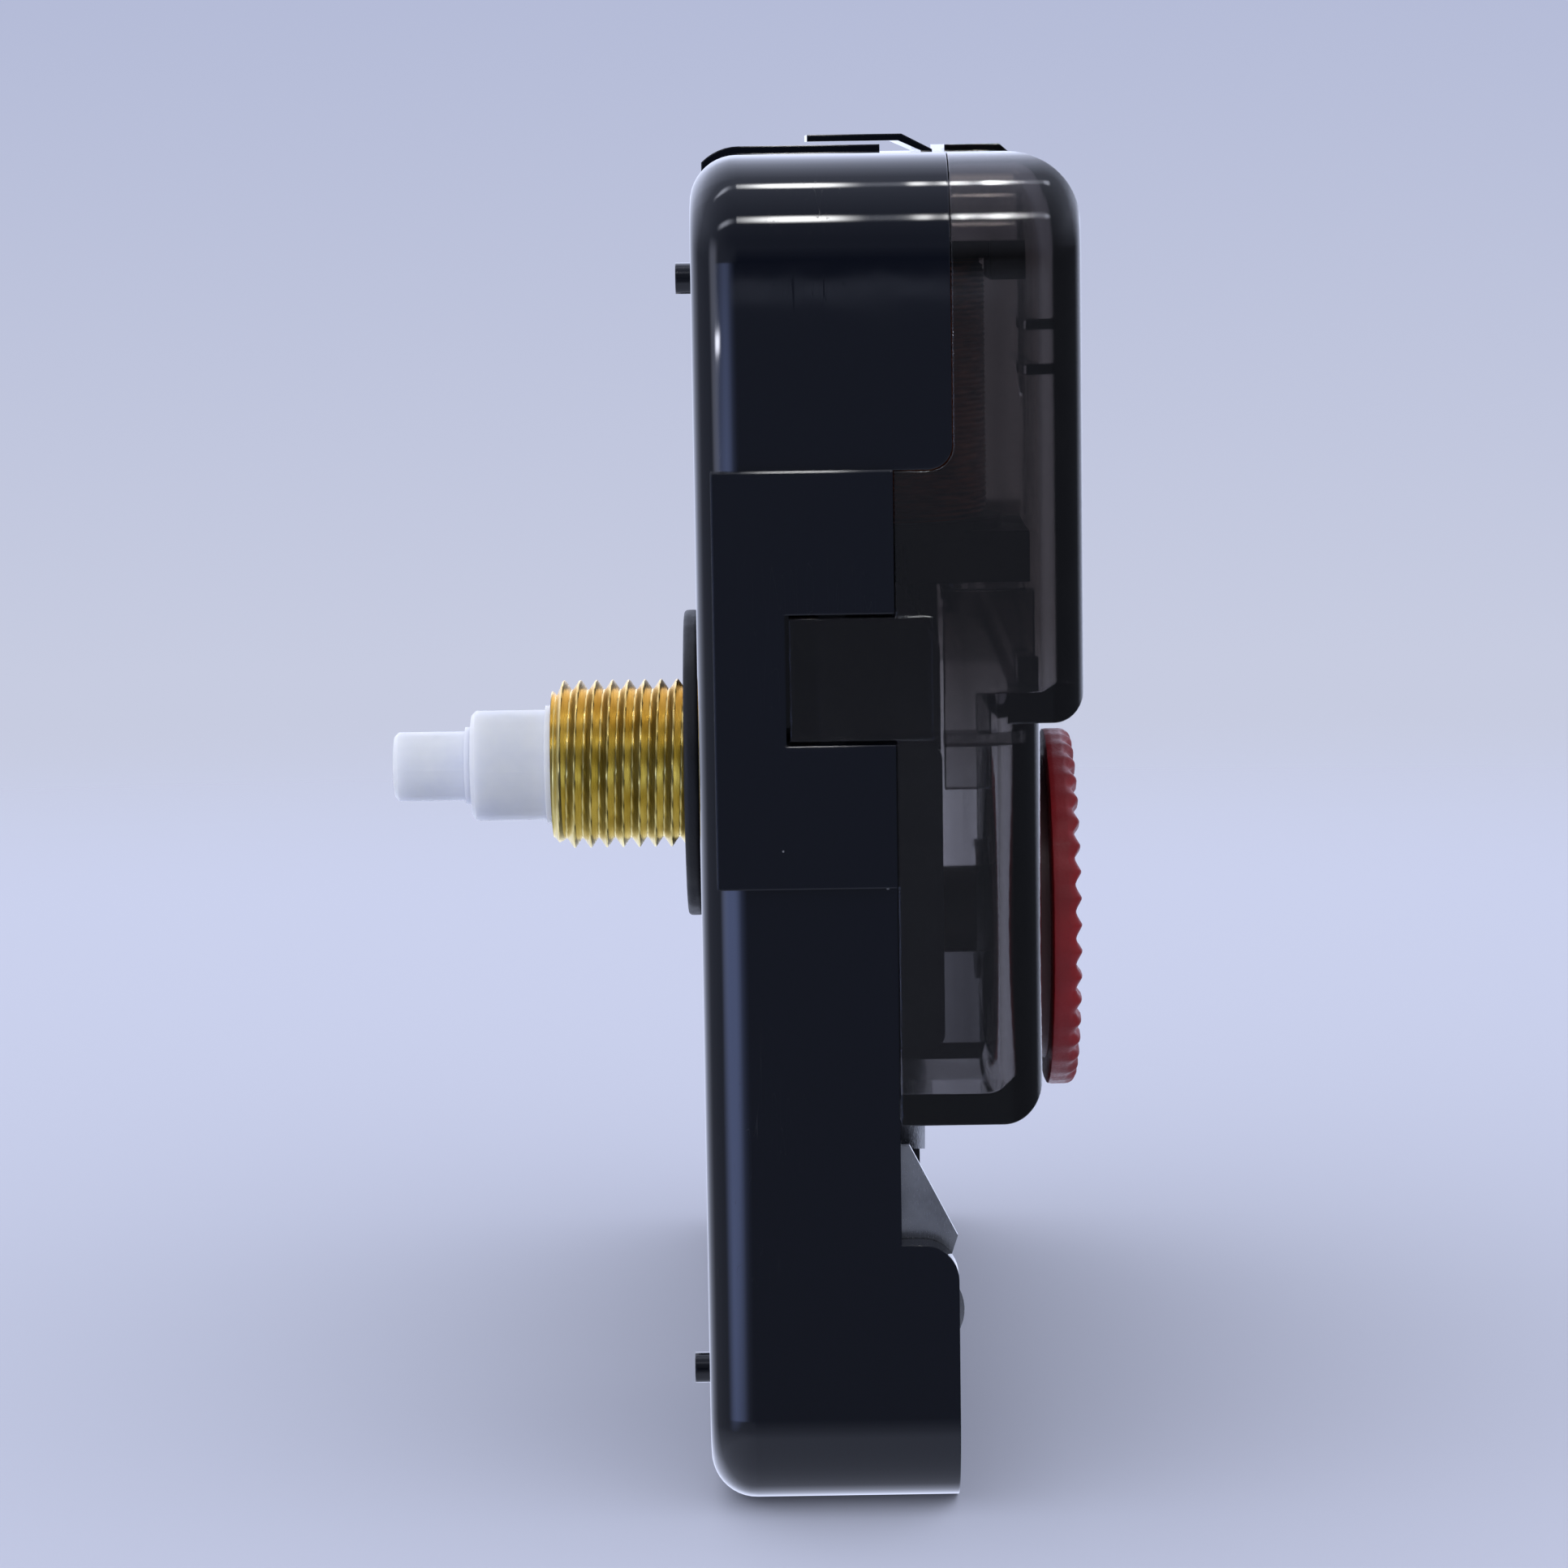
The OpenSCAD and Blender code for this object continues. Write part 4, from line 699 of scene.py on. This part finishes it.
class MOVEMENT_OT_add_stage(bpy.types.Operator):
    """Adds the pale floor, the studio light and the camera"""

    bl_idname = "movement.add_stage"
    bl_label = "Floor, light and camera"

    def execute(self, context):
        scene = context.scene
        studio = tuple(scene.movement_colours.studio)
        self.add_floor(studio)
        self.add_world(scene, studio)
        self.add_lamps(scene)
        self.add_camera(scene)
        scene.view_settings.view_transform = "Standard"
        return {"FINISHED"}

    def add_floor(self, studio):
        """A wide disc under the movement that fades into the backdrop's colour. Shiny surfaces
        mirror the room in its place."""
        base, reach, rings, columns = CAD_BOX[0].z, 0.9, 24, 96
        radius = np.concatenate([[0], np.linspace(0.02, reach, rings)])
        angle = np.linspace(0, 2 * np.pi, columns, endpoint=False)
        points = np.stack(
            [
                radius[:, None] * np.cos(angle),
                radius[:, None] * np.sin(angle),
                np.full((rings + 1, columns), base),
            ],
            axis=-1,
        )
        floor = surface("floor", points)
        close_poles(floor)
        made, tree, place = new_finish("floor paper")
        centred = add(
            tree, "ShaderNodeMapping", {"Location": (60, 0, 0), "Scale": (1, 0.5, 0)}, Vector=place
        )
        far = add(
            tree, "ShaderNodeVectorMath", {"operation": "LENGTH"}, Vector=centred.outputs["Vector"]
        )
        fade = add(
            tree, "ShaderNodeMapRange",
            {"interpolation_type": "SMOOTHSTEP", "From Min": 70, "From Max": 190},
            Value=far.outputs["Value"],
        ).outputs["Result"]
        paper = add(tree, "ShaderNodeBsdfDiffuse", {"Color": studio})
        gone = add(tree, "ShaderNodeBsdfTransparent")
        mixed = add(tree, "ShaderNodeMixShader", None, Fac=fade)
        tree.links.new(paper.outputs["BSDF"], mixed.inputs[1])
        tree.links.new(gone.outputs["BSDF"], mixed.inputs[2])
        add(tree, "ShaderNodeOutputMaterial", Surface=mixed.outputs["Shader"])
        floor.data.materials.append(made)
        floor.visible_glossy = False

    def add_world(self, scene, studio):
        """A pale backdrop for what is seen directly or through the cover, a plain level of light
        for dull surfaces, and a room for shiny ones to mirror."""
        world = bpy.data.worlds.new("studio")
        world.use_nodes = True
        tree = world.node_tree
        tree.nodes.clear()
        ray = add(tree, "ShaderNodeLightPath")
        place = add(tree, "ShaderNodeTexCoord").outputs["Generated"]
        axes = add(tree, "ShaderNodeSeparateXYZ", None, Vector=place).outputs
        backdrop = blend_colours(
            tree, spread(tree, axes["Z"], -0.11, 0.03), linear("#c7cce1"), linear("#b5bcd8")
        )
        plain = add(tree, "ShaderNodeBackground", {"Color": linear("#e6e8f2"), "Strength": 1.27})
        fill = add(
            tree, "ShaderNodeMath", {"operation": "MAXIMUM"},
            i0=ray.outputs["Is Camera Ray"], i1=spread(tree, axes["X"], -0.1, 0.5, 1.0, 0.2),
        ).outputs[0]
        seen = add(tree, "ShaderNodeBackground", None, Color=backdrop, Strength=fill)
        mirrored = add(
            tree, "ShaderNodeBackground", {"Color": (0.92, 1.0, 1.3, 1.0)},
            Strength=self.room_level(tree, place, axes),
        )
        direct = add(
            tree, "ShaderNodeMath", {"operation": "MAXIMUM"},
            i0=ray.outputs["Is Camera Ray"], i1=ray.outputs["Is Transmission Ray"],
        )
        first = add(tree, "ShaderNodeMixShader", None, Fac=ray.outputs["Is Glossy Ray"])
        tree.links.new(plain.outputs["Background"], first.inputs[1])
        tree.links.new(mirrored.outputs["Background"], first.inputs[2])
        second = add(tree, "ShaderNodeMixShader", None, Fac=direct.outputs[0])
        tree.links.new(first.outputs["Shader"], second.inputs[1])
        tree.links.new(seen.outputs["Background"], second.inputs[2])
        add(tree, "ShaderNodeOutputWorld", Surface=second.outputs["Shader"])
        scene.world = world

    def room_level(self, tree, place, axes):
        """The room's brightness in each direction. It is brightest overhead towards the backdrop,
        dim below, dark at its sides, and dark straight ahead over the table's near edge."""
        behind = spread(tree, axes["X"], -0.92, -0.2, 1.5, 0.0)
        above = add(
            tree, "ShaderNodeMath", {"operation": "ADD"}, i0=behind,
            i1=spread(tree, axes["X"], -0.1, 0.95, 0.65, 0.14),
        ).outputs[0]
        sides = add(
            tree, "ShaderNodeMath", {"operation": "ADD"},
            i0=self.blend_levels(
                tree, spread(tree, axes["X"], -0.85, -0.35, 1.0, 0.0),
                spread(tree, axes["Y"], -0.5, 0.3, 0.3, 0.12), 1.2,
            ),
            i1=spread(tree, axes["Z"], -0.6, -0.35, 0.4, 0.0),
        ).outputs[0]
        round_about = self.blend_levels(tree, spread(tree, axes["Z"], 0.05, 0.4), sides, above)
        table = spread(tree, axes["Z"], -0.034, -0.032, 0.15, 0.04)
        edge = add(
            tree, "ShaderNodeMath", {"operation": "COMPARE", 1: -0.031, 2: 0.0022}, i0=axes["Z"]
        ).outputs[0]
        ahead = add(
            tree, "ShaderNodeMath", {"operation": "MULTIPLY_ADD", 1: 0.36}, i0=edge, i2=table
        ).outputs[0]
        apart = add(
            tree, "ShaderNodeMapping", {"Location": (-0.99, 0, 0.4), "Scale": (1, 3.6, 4.0)},
            Vector=place,
        ).outputs["Vector"]
        far = add(tree, "ShaderNodeVectorMath", {"operation": "LENGTH"}, Vector=apart).outputs["Value"]
        return self.blend_levels(tree, spread(tree, far, 0.85, 1.4), ahead, round_about)

    def blend_levels(self, tree, share, first, second):
        """The level first where share is 0 and second where it is 1. Each is a number or a socket."""
        mixed = add(tree, "ShaderNodeMix", {"data_type": "FLOAT"}, i0=share)
        for key, level in ((2, first), (3, second)):
            if isinstance(level, float):
                mixed.inputs[key].default_value = level
            else:
                tree.links.new(level, mixed.inputs[key])
        return mixed.outputs[0]

    def add_lamps(self, scene):
        """A wide soft panel above lights the scene. The other lamps show only as reflections: two
        rows make the two bands along the top corner, each long and dim with a curl at both ends,
        a bright middle and three spots, and two bluish panels with a glint shade the front corner
        and the thread. Each lamp is (name, place, length, width, watts, colour), and all fade out
        towards their edges."""
        lamps = [
            ("panel_above", (-0.32, -0.12, 0.66), 0.70, 0.50, 1.4, "#fbf8f4"),
            ("panel_left", (0.48, -0.40, -0.11), 0.80, 0.36, 3.3, "#93a6e4"),
            ("side_left", (0.32, -0.54, 0.05), 0.34, 0.45, 0.75, "#dfe4ff"),
            ("glint_left", (0.386, -0.46, -0.004), 0.20, 0.005, 0.08, "#eef0ff"),
        ]
        for row, (x, z) in {"high": (0.03, 0.66), "low": (0.444, 0.458)}.items():
            lamps += [
                (f"row_{row}", (x, 0.02, z), 0.26, 0.10, 0.11, "#e9eeff"),
                (f"curl_{row}", (x, -0.30, z), 0.50, 0.10, 0.75, "#e9eeff"),
                (f"arc_{row}", (x, 0.15, z), 0.18, 0.10, 0.22, "#e9eeff"),
                (f"middle_{row}", (0.99 * x, 0.0082, 0.99 * z), 0.024, 0.10, 0.24, "#ffffff"),
                (f"spot_{row}", (0.98 * x, 0.0418, 0.98 * z), 0.005, 0.09, 0.07, "#ffffff"),
                (f"next_{row}", (0.97 * x, 0.0345, 0.97 * z), 0.004, 0.09, 0.035, "#ffffff"),
                (f"gap_{row}", (0.96 * x, 0.0290, 0.96 * z), 0.005, 0.09, 0.025, "#ffffff"),
            ]
        for name, place, length, width, watts, colour in lamps:
            data = bpy.data.lights.new(name, "AREA")
            data.shape = "RECTANGLE"
            data.size, data.size_y = length, width
            data.energy = watts
            data.color = linear(colour)[:3]
            self.soften(data)
            lamp = bpy.data.objects.new(name, data)
            lamp.visible_diffuse = name == "panel_above"
            lamp.visible_glossy = name != "panel_above"
            away = Vector(place).normalized()
            across = Vector((0, 1, 0)) if abs(away.y) < 0.5 else Vector((1, 0, 0))
            up = away.cross(across).normalized()
            turn = Matrix((up.cross(away), up, away)).transposed().to_4x4()
            lamp.matrix_world = Matrix.Translation(place) @ turn
            scene.collection.objects.link(lamp)

    def soften(self, data):
        """Fades a lamp from its middle lines to its edges."""
        data.use_nodes = True
        tree = data.node_tree
        tree.nodes.clear()
        spot = add(tree, "ShaderNodeNewGeometry").outputs["Parametric"]
        axes = add(tree, "ShaderNodeSeparateXYZ", None, Vector=spot).outputs
        sides = [
            add(tree, "ShaderNodeMath", {"operation": "PINGPONG", 1: 0.5}, i0=axes[key]).outputs[0]
            for key in ("X", "Y")
        ]
        fades = [
            add(
                tree, "ShaderNodeMapRange",
                {"interpolation_type": "SMOOTHSTEP", "From Min": 0.0, "From Max": 0.42}, Value=side,
            ).outputs["Result"]
            for side in sides
        ]
        level = add(tree, "ShaderNodeMath", {"operation": "MULTIPLY"}, i0=fades[0], i1=fades[1])
        glow = add(tree, "ShaderNodeEmission", None, Strength=level.outputs[0])
        add(tree, "ShaderNodeOutputLight", Surface=glow.outputs["Emission"])

    def add_camera(self, scene):
        """A long lens from the knob's side, a little above level and rolled by under a degree."""
        data = bpy.data.cameras.new("camera")
        data.sensor_width = 36.0
        data.lens = 106.1
        data.clip_start, data.clip_end = 0.005, 20.0
        camera = bpy.data.objects.new("camera", data)
        pitch, roll = math.radians(7.87), 0.0155
        forward = Vector((-math.cos(pitch), 0, -math.sin(pitch)))
        right = Vector((0, 1, 0))
        up = right.cross(forward)
        x = math.cos(roll) * right - math.sin(roll) * up
        y = math.sin(roll) * right + math.cos(roll) * up
        turn = Matrix((x, y, -forward)).transposed().to_4x4()
        camera.matrix_world = Matrix.Translation((0.2131, 0.00451, 0.02837)) @ turn
        scene.collection.objects.link(camera)
        scene.camera = camera


OPERATORS = (
    MOVEMENT_OT_finish_nodes,
    MOVEMENT_OT_add_bushing,
    MOVEMENT_OT_add_gasket,
    MOVEMENT_OT_add_knob,
    MOVEMENT_OT_add_winding,
    MOVEMENT_OT_add_stage,
)


class MOVEMENT_PT_panel(bpy.types.Panel):
    """Lists the movement's sizes, colours and pieces"""

    bl_idname = "MOVEMENT_PT_panel"
    bl_label = "Clock movement"
    bl_space_type = "VIEW_3D"
    bl_region_type = "UI"
    bl_category = "Movement"

    def draw(self, context):
        for group in (context.scene.movement_sizes, context.scene.movement_colours):
            for name in group.__annotations__:
                self.layout.prop(group, name)
        for operator in OPERATORS:
            self.layout.operator(operator.bl_idname)


CLASSES = (MovementSizes, MovementColours, *OPERATORS, MOVEMENT_PT_panel)


def register():
    for made in CLASSES:
        bpy.utils.register_class(made)
    bpy.types.Scene.movement_sizes = bpy.props.PointerProperty(type=MovementSizes)
    bpy.types.Scene.movement_colours = bpy.props.PointerProperty(type=MovementColours)


def unregister():
    del bpy.types.Scene.movement_colours
    del bpy.types.Scene.movement_sizes
    for made in reversed(CLASSES):
        bpy.utils.unregister_class(made)


def main():
    register()
    bpy.ops.movement.finish_nodes()
    bpy.ops.movement.add_bushing()
    bpy.ops.movement.add_gasket()
    bpy.ops.movement.add_knob()
    bpy.ops.movement.add_winding()
    bpy.ops.movement.add_stage()


if __name__ == "__main__":
    main()
